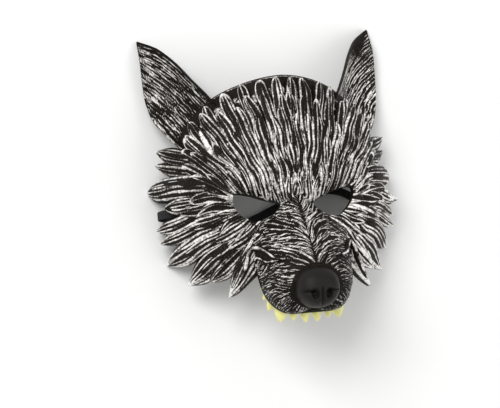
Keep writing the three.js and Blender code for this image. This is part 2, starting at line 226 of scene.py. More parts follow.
def addElastic(s):
    right = s["half"]
    left = [(-x, 2 * s["middleAlong"] - y, z) for x, y, z in right[:0:-1]]
    route = smoothRoute(left + right, s["steps"])
    along = unit(np.gradient(route, axis=0))
    widths = np.empty_like(route)
    width = np.array([0.0, 1.0, 0.0])
    for i, direction in enumerate(along):
        width = width - direction * width.dot(direction)
        width = width / np.linalg.norm(width)
        widths[i] = width
    ups = np.cross(along, widths)
    # section: ribbed top and underside, with rounded selvedges
    roundness, power = s["selvedge"]
    across = np.linspace(-1, 1, 4 * s["ribs"] + 1)
    rib = np.cos(across * s["ribs"] * math.pi) * s["ribHeight"]
    half = s["thickness"] / 2 - s["ribHeight"]
    lift = half * np.sqrt(1 - roundness * across ** power) + rib * (1 - across ** power)
    section = [(a, h) for a, h in zip(across, lift)] + [(a, -h) for a, h in zip(across[::-1], lift[::-1])]
    section = np.array(section)
    rings = (route[:, None] + widths[:, None] * (section[None, :, :1] * s["width"] / 2)
             + ups[:, None] * section[None, :, 1:])
    faces = turned(tubeFaces(len(route), len(section)))
    band = makeMesh("elastic", rings, faces, np.tile(section, (len(route), 1)))
    bpy.context.scene.collection.objects.link(band)
    path = toScene(route)
    band.data.materials.append(elasticMaterial(s))
    band.data.shade_smooth()
    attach(band, "root")
    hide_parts("elastic_band")


def elasticMaterial(s):
    n = Nodes("knittedElastic")
    place = n.add("ShaderNodeTexCoord").outputs["Object"]
    knit = n.add("ShaderNodeTexWave", [("Vector", place), ("Scale", s["knitScale"]), ("Distortion", 2.0),
                                       ("Detail", 1.0)], bands_direction="X").outputs[1]
    fuzz = n.noise(place, s["fuzzScale"])
    n.put(n.shader, "Base Color", n.mix(n.step(fuzz, 0.45, 0.8), s["colour"], s["fuzzColour"]))
    n.put(n.shader, "Roughness", s["roughness"])
    n.put(n.shader, "Normal", n.bump(n.math("ADD", knit, n.math("MULTIPLY", fuzz, 0.6)), 0.5, 0.0002))
    return n.material


addElastic(elastic)
print("elastic band laid")

# Form of the face plate
plate = {
    "crown": (5, 70),
    # by angle round the crown: reach, height over the floor, and how far the surface turns down to the rim
    "angle": [-90, -60, -52, -42, -30, -15, 0, 15, 28, 42, 58, 74, 90],
    "reach": [42, 50, 56, 62.5, 66.5, 70, 72.5, 74.5, 79.5, 88, 90, 88, 87],
    "height": [62, 57, 50, 38, 27, 24, 27, 24, 23, 28, 38, 53, 62],
    "turn": [35, 42, 50, 60, 68, 74, 75, 74, 71, 66, 60, 53, 50],
    # hollows and swellings: centre, spread and rise
    "forms": [(28, 0, 16, 11, -13), (24, 18, 17, 8, 4), (50, -20, 15, 13, 4)],
    # the fur points away from a place on the middle line, in parts of the reach
    "fanAngle": [-60, 0, 14, 26, 90],
    "fanCentre": [0, 0, -0.2, -0.55, -0.62],
    "wall": 3,
    "rings": 58,
    "insideRings": 14,
    "crownRing": 0.015,
    "aroundHalf": 104,
    "flatScale": 85,
    "ridge": 0.5,
    "paint": 0.84,
    # fine ridges between the locks: first ring and step of their rows, distance between them, and their size
    "strokes": {"first": 0.04, "step": 0.075, "between": 2.7, "scatter": 2, "length": 11, "width": 0.7},
    # plain strip along the forehead's rim, by ring and angle, and the fine line on it
    "strip": {"ring": (0.84, 0.9), "angle": (28, 38)},
    "line": {"ring": 0.985, "half": 0.006, "angle": (52, 58), "strength": 0.7},
}


def through(positions, values, at):
    # smooth curve through stations, held between neighbouring values
    p, v, at = (np.asarray(a, float) for a in (positions, values, at))
    slope = np.diff(v) / np.diff(p)
    tangent = np.empty(len(p))
    tangent[0], tangent[-1] = slope[0], slope[-1]
    a, b = slope[:-1], slope[1:]
    safe = np.where(a + b == 0, 1, a + b)
    tangent[1:-1] = np.where(a * b <= 0, 0, 2 * a * b / safe)
    i = np.clip(np.searchsorted(p, at, side="left") - 1, 0, len(p) - 2)
    span = p[i + 1] - p[i]
    t = (at - p[i]) / span
    u = 1 - t
    near = v[i] * (1 + 2 * t) * u * u + span * tangent[i] * t * u * u
    return near + v[i + 1] * (3 - 2 * t) * t * t - span * tangent[i + 1] * t * t * u


def facePoint(angle, ring):
    angle, ring = np.asarray(angle, float), np.asarray(ring, float)
    s = plate
    rimTurn = np.radians(through(s["angle"], s["turn"], angle))
    turn = rimTurn * ring
    out = through(s["angle"], s["reach"], angle) * np.sin(turn) / np.sin(rimTurn)
    fall = (s["crown"][1] - through(s["angle"], s["height"], angle)) / (1 - np.cos(rimTurn))
    x = out * np.cos(np.radians(angle))
    y = s["crown"][0] + out * np.sin(np.radians(angle))
    z = s["crown"][1] - fall * (1 - np.cos(turn))
    for cx, cy, wide, long, rise in s["forms"]:
        z = z + rise * np.exp(-((x - cx) / wide) ** 2 - ((y - cy) / long) ** 2)
    return np.stack(np.broadcast_arrays(x, y, z), -1)


def faceNormal(angle, ring):
    angle, ring = np.asarray(angle, float), np.maximum(ring, 0.05)
    here = facePoint(angle, ring)
    outward = facePoint(angle, ring + 0.01) - here
    step = np.where(angle > 0, -1.0, 1.0)
    sideways = (facePoint(angle + step, ring) - here) * step[..., None]
    return unit(np.cross(outward, sideways))


# Ridges of fur on a surface
def strokeCrest(flat, seeds, flow, length, width, rng, bend=0.35, steps=7):
    # flat holds points of the surface laid out in millimetres; each seed grows a wavy ridge along the flow
    crest = np.zeros(len(flat))
    order = np.argsort(flat[:, 1])
    rows = flat[order, 1]
    for seed in seeds:
        reach = length * rng.uniform(0.6, 1.25)
        line = [np.array(seed, float)]
        wave, phase = rng.uniform(-bend, bend), rng.uniform(0, 6.28)
        for k in range(steps):
            d = flow(line[-1])
            d = d / (np.linalg.norm(d) + 1e-9)
            side = np.array([-d[1], d[0]])
            line.append(line[-1] + (d + side * wave * math.sin(phase + 1.3 * k)) * reach / steps)
        line = np.array(line)
        low, high = line.min(0) - 3 * width, line.max(0) + 3 * width
        near = order[np.searchsorted(rows, low[1]):np.searchsorted(rows, high[1])]
        near = near[(flat[near, 0] > low[0]) & (flat[near, 0] < high[0])]
        if not len(near):
            continue
        best = np.zeros(len(near))
        strong = rng.uniform(0.75, 1.05)
        for k in range(steps):
            a, b = line[k], line[k + 1]
            ab = b - a
            t = np.clip((flat[near] - a).dot(ab) / ab.dot(ab), 0, 1)
            gap = np.linalg.norm(flat[near] - a - t[:, None] * ab, axis=1)
            along = (k + t) / steps
            taper = np.sqrt(np.clip(4 * along * (1 - along), 0, 1)) * 0.55 + 0.45
            best = np.maximum(best, strong * np.exp(-(gap / (width * taper)) ** 2))
        crest[near] = np.maximum(crest[near], best)
    return np.minimum(crest, 1)


def brickSeeds(low, high, alongStep, acrossStep, rng, upwards=False):
    # staggered places over a rectangle; strokes run along the first direction, or upwards along the second
    seeds = []
    first, second = (1, 0) if upwards else (0, 1)
    across = np.arange(low[second], high[second], acrossStep)
    for k, c in enumerate(across):
        for a in np.arange(low[first] + alongStep * (0.5 * (k % 2)), high[first], alongStep):
            place = [0.0, 0.0]
            place[first] = a + rng.uniform(-0.35, 0.35) * alongStep
            place[second] = c + rng.uniform(-0.3, 0.3) * acrossStep
            seeds.append(place)
    return seeds


def surfaceNormals(grid, wrap=False):
    # normals of a grid of points (rows × columns × 3), from its neighbours
    if wrap:
        columns = np.roll(grid, -1, 1) - np.roll(grid, 1, 1)
    else:
        columns = np.gradient(grid, axis=1)
    return unit(np.cross(np.gradient(grid, axis=0), columns))


def wayRound(half):
    up = np.linspace(-90, 90, half, endpoint=False)
    down = np.linspace(90, -90, half, endpoint=False)
    angle = np.concatenate([up, down])
    side = np.repeat([1.0, -1.0], half)
    return angle, side


def fanFlow(place):
    # direction of the fur on the plate laid flat, where a point has its angle and its ring as distance
    x, y = place
    angle = math.degrees(math.atan2(y, max(abs(x), 1e-6)))
    centre = float(through(plate["fanAngle"], plate["fanCentre"], angle)) * plate["flatScale"]
    return np.array([x, y - centre])


def plateLayer(rings, depth, half):
    angle, side = wayRound(half)
    layer = []
    for ring in rings:
        same = np.full(len(angle), ring)
        points = facePoint(angle, same) - depth * faceNormal(angle, same)
        points[:, 0] *= side
        layer.append(points)
    return np.array(layer)


def makePlate(s, rng):
    half = s["aroundHalf"]
    rings = np.linspace(1, s["crownRing"], s["rings"])
    outside = plateLayer(rings, 0, half)
    inside = plateLayer(np.linspace(s["crownRing"], 1, s["insideRings"]), s["wall"], half)
    angle, side = wayRound(half)
    a, r = np.meshgrid(np.radians(angle), rings)
    flat = np.stack([np.cos(a) * r * side, np.sin(a) * r], -1).reshape(-1, 2) * s["flatScale"]
    seeds = []
    strokes = s["strokes"]
    for k, ring in enumerate(np.arange(strokes["first"], 1, strokes["step"])):
        count = max(6, int(2 * math.pi * ring * s["flatScale"] / strokes["between"]))
        for t in (np.arange(count) + 0.5 * (k % 2)) * 2 * math.pi / count:
            spread = ring * s["flatScale"] + rng.uniform(-strokes["scatter"], strokes["scatter"])
            t += rng.uniform(-0.3, 0.3) * 2 * math.pi / count
            seeds.append((math.cos(t) * spread, math.sin(t) * spread))
    crest = strokeCrest(flat, seeds, fanFlow, strokes["length"], strokes["width"], rng)
    ringAt, angleAt = r.ravel(), np.tile(angle, len(rings))
    strip = smooth(*s["strip"]["ring"], ringAt) * smooth(*s["strip"]["angle"], angleAt)
    line = np.exp(-((ringAt - s["line"]["ring"]) / s["line"]["half"]) ** 2)
    line = line * smooth(*s["line"]["angle"], angleAt)
    crest = np.maximum(crest * (1 - strip), line * s["line"]["strength"])
    normals = surfaceNormals(outside, wrap=True).reshape(-1, 3)
    normals *= np.sign(normals[:, 2:3])
    height = crest * s["ridge"] * smooth(0, 0.04, 1.001 - ringAt)  # nothing at the very edge
    lifted = outside.reshape(-1, 3) + normals * height[:, None]
    points = np.vstack([inside.reshape(-1, 3), lifted])
    blank = np.zeros((inside.shape[0] * 2 * half, 2))
    relief = np.vstack([blank, np.stack([crest, np.full(len(crest), s["paint"])], 1)])
    finish = np.vstack([blank + (0, 1), np.zeros((len(crest), 2))])
    faces = tubeFaces(len(rings) + s["insideRings"], 2 * half)
    return makeMesh("plate", points, faces, relief, finish)


# Locks of fur
lock = {
    "ridgeWidth": 0.74,
    "ridgeHeight": 1.0,
    "edgePlace": 0.77,
    "acrossStep": 0.8,
    "alongStep": 1.7,
    "fewestPoints": 9,
    "mostAlong": 26,
    "mostAcross": 21,
    # where a pointed lock starts to narrow, and how much later a blunt one does
    "narrowFrom": (0.46, 0.32),
    # how fast the white of the tip sets in, how high it stands and how much paint it takes
    "whiteRamp": 0.16,
    "whiteCrest": 0.8,
    "whitePaint": 1.1,
    "wander": 0.42,
    # how much ridges wave, the outer two and those between, and how much their width swells
    "waves": (0.03, 0.08),
    "swell": 0.28,
    # how steeply a lock's back falls to its sides, and its underside: width and places along it
    "crown": 0.92,
    "underWidth": 0.96,
    "underAt": [0, 0.5, 0.82, 1],
    # what all locks at the rim and all locks on the face have in common
    "onRim": {"rootShare": 0.85, "sink": 0, "whiteRoot": 0, "open": 0.3, "spacing": 2.6},
    "onFace": {"rootShare": 0.7, "sink": 2.5, "spacing": 3.5},
}


def wander(points):
    # slow waviness shared by all the fur, so that neighbouring locks bend together
    x, y = points[:, 0], points[:, 1]
    moved = points.copy()
    sway = np.sin(y / 5.4 + 0.9 * np.sin(x / 7.3)) + 0.6 * np.sin(y / 3.4 + x / 7 + 1)
    lean = np.sin(x / 4.6 + 0.8 * np.sin(y / 6.1)) + 0.6 * np.sin(x / 2.9 - y / 8 + 2)
    moved[:, 0] += lock["wander"] * sway
    moved[:, 1] += lock["wander"] * lean
    return moved


def leafWidth(t, blunt, rootShare):
    root = rootShare + (1 - rootShare) * smooth(0, 0.45, t)
    start = lock["narrowFrom"][0] + lock["narrowFrom"][1] * blunt
    q = np.clip((t - start) / (1 - start), 0, 1)
    tip = np.clip(1 - q ** (1.5 + 0.6 * blunt), 0, 1) ** (0.95 - 0.45 * blunt)
    return root * np.maximum(tip, 0.05)


def lockMesh(name, spine, ups, size, deep, rng, mirror=False):
    # spine and ups are functions of t from root (0) to tip (1); deep says how far the underside goes down
    s = lock
    width, thick = size["width"], size["thick"]
    rough = spine(np.linspace(0, 1, 12))
    length = np.linalg.norm(np.diff(rough, axis=0), axis=1).sum()
    count = int(np.clip(length / s["alongStep"], s["fewestPoints"], s["mostAlong"]))
    t = 1 - (1 - np.linspace(0, 1, count)) ** 1.45
    centre, up = spine(t), ups(t)
    along = unit(np.gradient(centre, axis=0))
    across = unit(np.cross(up, along))
    rise = np.cross(along, across)
    leaf = leafWidth(t, size["blunt"], size["rootShare"])
    half = width / 2 * leaf
    columns = int(np.clip(width / s["acrossStep"], s["fewestPoints"], s["mostAcross"]))
    c = np.linspace(1, -1, columns)
    # ridges: both edges and some between them, which run together at the tip
    inner = max(1, int(round(width * 0.8 / (size["spacing"] * rng.uniform(0.88, 1.12)))) - 1)
    crest = np.zeros((count, columns))
    for k in range(inner + 2):
        edge = k in (0, inner + 1)
        place = s["edgePlace"] * (2 * k / (inner + 1) - 1)
        if not edge:
            place += rng.uniform(-0.25, 0.25) / (inner + 1)
        wave = s["waves"][0 if edge else 1] * np.sin(rng.uniform(2, 7) * t + rng.uniform(0, 6.28))
        strong = rng.uniform(0.85, 1.0)
        strong = strong * (0.84 + 0.16 * np.sin(rng.uniform(4, 11) * t + rng.uniform(0, 6.28)))
        if edge:
            strong = strong * (1 - size["open"] * rng.uniform(0.2, 1) * smooth(0.55, 0.9, t))
        else:
            begin, end = rng.uniform(-0.3, 0.35), rng.uniform(0.75, 1.3)
            strong = strong * smooth(begin, begin + 0.15, t) * (1 - smooth(end, end + 0.15, t))
        swell = 1 + s["swell"] * np.sin(rng.uniform(3, 9) * t + rng.uniform(0, 6.28))
        ridgeWidth = s["ridgeWidth"] * (rng.uniform(1, 1.3) if edge else rng.uniform(0.7, 1.2)) * swell
        gap = (c[None, :] - (place + wave)[:, None]) * (half / ridgeWidth)[:, None]
        crest = np.maximum(crest, strong[:, None] * np.exp(-gap ** 2))
    whiteFrom = size["whiteTip"]
    whiteTip = (size["tipStrength"] * smooth(whiteFrom, whiteFrom + s["whiteRamp"], t))[:, None]
    whiteRoot = size["whiteRoot"] * (1 - smooth(0.02, 0.22, t))[:, None]
    crest = np.maximum(crest, np.maximum(whiteTip * s["whiteCrest"], whiteRoot))
    crest = crest * smooth(1, 0.9, np.abs(c))[None, :]
    # a crowned body that thins towards the tip, with the ridges on it, and the root sunk in the plate
    body = 0.5 + 0.5 * leaf
    crown = np.sqrt(1 - s["crown"] * c ** 2)
    height = thick * body[:, None] * crown[None, :] * smooth(-0.02, 0.16, t)[:, None]
    ridges = crest * s["ridgeHeight"] * np.minimum(1, half / 1.6)[:, None]
    height = height + ridges * smooth(0, 0.1, t)[:, None]
    height = height - size["sink"] * (1 - smooth(0, 0.14, t))[:, None]
    sideways = across[:, None] * (c[None, :, None] * half[:, None, None])
    top = centre[:, None] + sideways + rise[:, None] * height[:, :, None]
    low = np.interp(t, s["underAt"], deep)
    under = np.stack([centre + across * (half * s["underWidth"] * side)[:, None] - rise * low[:, None]
                      for side in (-1, 0, 1)], 1)
    rings = np.concatenate([top, under], 1)
    points = wander(rings.reshape(-1, 3))
    white = np.maximum(whiteTip, whiteRoot)
    paint = size["paint"] + (s["whitePaint"] - size["paint"]) * white * np.ones(columns + 3)
    wholeCrest = np.concatenate([crest, np.zeros((count, 3))], 1)
    relief = np.stack([wholeCrest.ravel(), paint.ravel()], 1)
    return makeMesh(name, points, tubeFaces(count, columns + 3), relief, mirror=mirror)


# how far the underside goes down, from root to tip, on the face and at the rim
intoPlate = (6, 6, 6, 6)
freeOfRim = (5, 3.6, 2.2, 1.1)


def faceLock(row, tipAngle, tipRing, size, rng, mirror):
    direction = math.radians(tipAngle)
    tip = np.array([math.cos(direction), math.sin(direction)]) * tipRing
    centre = np.array([0, float(through(plate["fanAngle"], plate["fanCentre"], tipAngle))])
    back = centre - tip
    root = tip + back / np.linalg.norm(back) * row["length"]
    sideways = np.array([-back[1], back[0]]) / np.linalg.norm(back)
    bow, bend = rng.uniform(-1, 1) * row["bow"], rng.uniform(-0.014, 0.014)

    def place(t):
        sway = bow * np.sin(math.pi * t) + bend * np.sin(2 * math.pi * t)
        at = root + (tip - root) * t[:, None] + sideways * sway[:, None]
        return np.degrees(np.arctan2(at[:, 1], at[:, 0])), np.linalg.norm(at, axis=1)

    def spine(t):
        angle, ring = place(t)
        return facePoint(angle, ring) + faceNormal(angle, ring) * (row["lift"] * t * t)[:, None]

    return lockMesh("lock", spine, lambda t: faceNormal(*place(t)), size, intoPlate, rng, mirror)


# rows from the rim inwards: ring of the tips, length in rings, first and last angle, number, size, how far
# the tips scatter, where the white of the tip starts, how white the root is, how blunt the tips are, how
# much the outline opens at the tip, and how much the locks bow
furKeys = ("tip", "length", "from", "to", "count", "width", "thick", "lift", "scatter",
           "whiteTip", "whiteRoot", "blunt", "open", "bow")
furRows = [dict(zip(furKeys, row)) for row in [
    (0.95, 0.62, 55, 88, 5, 9.5, 3.0, 1.6, 0.015, (0.82, 0.92), 0, (0.8, 1.1), 0.1, 0.022),
    (0.9, 0.54, 33, 50, 4, 10, 3.4, 3.4, 0.04, (0.8, 0.9), 0, (0.8, 1.1), 0.1, 0.022),
    (1.00, 0.50, 3, 28, 4, 10, 3.6, 3.0, 0.05, (0.8, 0.9), 0, (0.7, 1.1), 0.1, 0.03),
    (1.00, 0.50, -51, -2, 7, 12, 3.8, 3.6, 0.04, (0.8, 0.95), 0, (0.15, 0.5), 0.3, 0.036),
    (0.81, 0.62, 42, 88, 7, 9.5, 3.0, 2.0, 0.06, (0.82, 0.92), 0, (0.7, 1.1), 0.4, 0.022),
    (0.84, 0.50, 5, 38, 6, 9.5, 3.6, 3.2, 0.06, (0.8, 0.9), 0, (0.8, 1.1), 0.2, 0.03),
    (0.84, 0.46, -52, -4, 6, 11.5, 3.8, 3.8, 0.06, (0.8, 0.95), 0, (0.1, 0.45), 0.5, 0.036),
    (0.65, 0.54, 43, 86, 6, 9.5, 2.8, 1.8, 0.06, (0.84, 0.95), 0.6, (0.5, 1.0), 0.6, 0.022),
    (0.68, 0.42, 6, 40, 6, 9.5, 3.0, 2.4, 0.05, (0.8, 0.9), 0.4, (0.6, 1.0), 0.5, 0.03),
    (0.66, 0.38, -50, -6, 6, 9.5, 3.4, 3.2, 0.05, (0.84, 0.98), 0.5, (0.1, 0.4), 0.7, 0.03),
    (0.49, 0.42, 40, 88, 6, 8.5, 2.6, 1.6, 0.06, (0.95, 1.05), 0.8, (0.1, 0.5), 1, 0.02),
    (0.52, 0.28, 13, 36, 4, 8, 2.6, 1.6, 0.03, (0.9, 1.0), 0.25, (0.1, 0.5), 0.9, 0.02),
    (0.48, 0.26, -52, -14, 5, 8, 2.8, 2.0, 0.03, (0.9, 1.0), 0.6, (0, 0.3), 1, 0.02),
    (0.32, 0.26, 42, 86, 5, 7, 2.2, 1.2, 0.04, (1, 1.1), 0.85, (0, 0.3), 1, 0.015),
    (0.18, 0.20, 25, 86, 5, 6, 2.0, 1.2, 0.03, (1, 1.1), 0.6, (0, 0.3), 1, 0.01),
]]

# how heavily the dry brush went over the fur, by angle, on the left and on the right
brushing = {
    "angle": [-90, -20, 0, 25, 42, 90],
    "left": [0.95, 0.95, 0.92, 0.81, 0.9, 0.92],
    "right": [1.06, 1.06, 1.03, 0.93, 0.92, 0.92],
    "scatter": 0.08,
}


def brushAt(angle, mirror, rng):
    side = brushing["left" if mirror else "right"]
    return float(through(brushing["angle"], side, angle)) + rng.uniform(-1, 1) * brushing["scatter"]


def rimLock(tip, root, size, rng, mirror):
    angle, ring = root
    tip = np.array(tip, float)
    tipAngle = math.degrees(math.atan2(tip[1] - plate["crown"][0], tip[0]))
    middleWay = ((angle + tipAngle) / 2, (ring + 1) / 2)
    bend = facePoint(*middleWay) + faceNormal(*middleWay) * size["thick"] * 0.4
    route = smoothRoute([facePoint(angle, ring), bend, tip], 40)
    share = np.linspace(0, 1, len(route))
    rootUp, tipUp = faceNormal(angle, ring), faceNormal(tipAngle, 1.0)

    def spine(t):
        return np.stack([np.interp(t, share, route[:, k]) for k in range(3)], 1)

    def ups(t):
        return unit(rootUp + (tipUp - rootUp) * t[:, None])

    return lockMesh("rimLock", spine, ups, size, freeOfRim, rng, mirror)


# locks that make the zigzag rim: tip, root as angle and ring, width, thickness, bluntness
rimFur = [
    ((83, 51, 15), (27, 0.7), 13, 4, 0.45), ((83.5, 41, 11), (22, 0.72), 12, 4, 0.45),
    ((88, 24, 0), (13, 0.6), 18, 5.5, 0.85), ((84.5, 8, 28), (3, 0.7), 12, 4, 0.5),
    ((87, -5, 6), (-6, 0.7), 13, 4.5, 0.5), ((86, -14, 9), (-12, 0.68), 11, 4, 0.4),
    ((80.5, -28, 0), (-21, 0.6), 18, 5.5, 0.35), ((70.5, -46, 14.6), (-32, 0.6), 18, 5.5, 0.35),
    ((59.5, -46.5, 33.5), (-41, 0.66), 16, 4.5, 0.4), ((50, -60, 48), (-48, 0.42), 17, 6, 0.4),
]
# on the right they are slimmer and more pointed, and the fourth hangs lower over the elastic
rimRight = {"slimmer": 0.86, "sharper": 0.28, "lower": 3, "by": (0.5, -6, 0.3)}


def makeLocks(rng):
    made = []
    for mirror in (False, True):
        for k, (tip, root, width, thick, blunt) in enumerate(rimFur):
            if not mirror:
                width, blunt = width * rimRight["slimmer"], max(0.1, blunt - rimRight["sharper"])
                if k == rimRight["lower"]:
                    tip = np.array(tip) + rimRight["by"]
            size = dict(lock["onRim"], width=width, thick=thick, blunt=blunt,
                        paint=brushAt(root[0], mirror, rng), tipStrength=rng.uniform(0.2, 0.9),
                        whiteTip=rng.uniform(0.86, 0.95))
            made.append(rimLock(tip, root, size, rng, mirror))
        for row in furRows:
            for k in range(row["count"]):
                step = (row["to"] - row["from"]) / (row["count"] - 1)
                angle = min(89.0, row["from"] + step * (k + rng.uniform(-0.22, 0.22)))
                ring = row["tip"] + rng.uniform(-1, 1) * row["scatter"]
                size = dict(lock["onFace"], width=row["width"] * rng.uniform(0.88, 1.12),
                            thick=row["thick"] * rng.uniform(0.9, 1.1), blunt=rng.uniform(*row["blunt"]),
                            paint=brushAt(angle, mirror, rng), whiteRoot=row["whiteRoot"],
                            open=row["open"], tipStrength=rng.uniform(0.3, 1),
                            whiteTip=rng.uniform(*row["whiteTip"]))
                made.append(faceLock(row, angle, ring, size, rng, mirror))
    return made


# Muzzle
muzzle = {
    "along": [-78, -66, -58, -46, -34, -22, -10, 2, 12],
    "halfWidth": [26.5, 29.5, 31.5, 33, 35, 36, 26, 13, 9],
    "bridge": [85, 92, 96, 97, 91.5, 84, 76, 70.5, 66],
    "lip": [73, 67, 65, 62, 56, 52, 50, 52, 54],
    "squareness": [2.6, 2.6, 2.5, 2.3, 2.1, 2, 2, 2, 2],
    # where the snout starts and ends to round off, its width left there, and how squarely it rounds
    "round": (-62, -78, 0.6, 2.6),
    # least rise of the bridge where the snout rounds off, and the line behind which it keeps its length
    "leastRise": 0.35,
    "insetFrom": -50,
    # sections from the brow to the front, crowded towards it, and how far points draw in to the bridge
    "from": 12,
    "to": -78,
    "crowding": 1.25,
    "gather": 0.45,
    "stations": 190,
    "columns": 115,
    "ridge": 0.42,
    # strokes of fur, then finer ones low on the sides and in front: distances, length and width
    "strokes": {"along": 8.5, "across": 1.75, "length": 11, "width": 0.38},
    "lowStrokes": {"along": 8, "across": 1.3, "length": 9, "width": 0.304},
    "area": ((-60, -104), (60, 14)),
    "bend": 0.45,
    "swirl": 0.2,
    # paint on the left and on the right, and how much less of it low on the sides
    "paint": (0.86, 0.77),
    "dimmer": 0.03,
    # dark groove between the two folds at the lip's corner, and where the fur ends on both sides of it
    "groove": [(35.8, -35.9, 64), (34.3, -33.4, 65), (32.3, -34.3, 70.6), (30.3, -36.6, 75.8),
               (28.4, -39.5, 80.5)],
    "grooveEdge": (1.3, 2.4),
    "lipEdge": (1.2, 3.4),
    # bare oval round the nose: middle, half width and half length
    "noseBed": (-62.8, 17.5, 15.5),
    "frontFrom": -58,
    "frontBack": 0.15,
    "domeRings": 16,
    "domeDepth": 0.8,
    # bead along the lip, and the lobes of the lip in front with the notch between them
    "bead": {"high": 0.5, "spread": 2.2},
    "lobe": {"out": 2.1, "at": 14, "spread": 9, "notch": 1.3, "notchSpread": 3},
}


def muzzleSections(stations, columns, inset=0.0, gather=0.0):
    # gather draws the points of a section together towards the bridge
    s = muzzle
    even = np.linspace(-1, 1, columns)
    spread = 0.5 + 0.5 * (even * (1 - gather) + gather * even ** 3)
    sections = []
    start, end, endScale, power = s["round"]
    angle = np.linspace(0, math.pi, 500)
    for y in stations:
        roundness = min(1, max(0, (start - y) / (start - end)))
        scale = endScale + (1 - endScale) * (1 - roundness ** power) ** (1 / power)
        wide = float(through(s["along"], s["halfWidth"], y)) * scale - inset
        lip = float(through(s["along"], s["lip"], y))
        share = s["leastRise"] + (1 - s["leastRise"]) * scale
        rise = (float(through(s["along"], s["bridge"], y)) - lip) * share - inset
        bend = 2 / float(through(s["along"], s["squareness"], y))
        x = wide * np.sign(np.cos(angle)) * np.abs(np.cos(angle)) ** bend
        z = lip + rise * np.abs(np.sin(angle)) ** bend
        far = np.concatenate([[0], np.cumsum(np.hypot(np.diff(x), np.diff(z)))])
        at = spread * far[-1]
        along = y + inset if y < s["insetFrom"] else y
        sections.append(np.stack([np.interp(at, far, x), np.full(columns, along), np.interp(at, far, z)], 1))
    return np.array(sections)


def muzzleFlow(place):
    # away from the parting line and back on the bridge, outwards on the sides, round the nose in front
    a, y = place
    side = 1.0 if a >= 0 else -1.0
    out = abs(a)
    bridge = np.array([1.0, 1.5 * math.exp(-out / 8) - 0.35 * float(smooth(14, 40, out))])
    front = np.array([out + 1, (y + 60) * 0.9])
    front /= np.linalg.norm(front)
    w = float(smooth(-46, -60, y))
    d = bridge / np.linalg.norm(bridge) * (1 - w) + front * w
    # neighbouring strokes swing together, so that they gather in tufts
    turn = muzzle["swirl"] * (math.sin(a / 4.7 + 0.8 * math.sin(y / 5.3)) + math.sin(y / 3.9 + a / 8 + 1))
    cos, sin = math.cos(turn), math.sin(turn)
    return np.array([(d[0] * cos - d[1] * sin) * side, d[0] * sin + d[1] * cos])


def lowOnMuzzle(place):
    return abs(place[0]) > 15 and place[1] < -34 or place[1] < -62


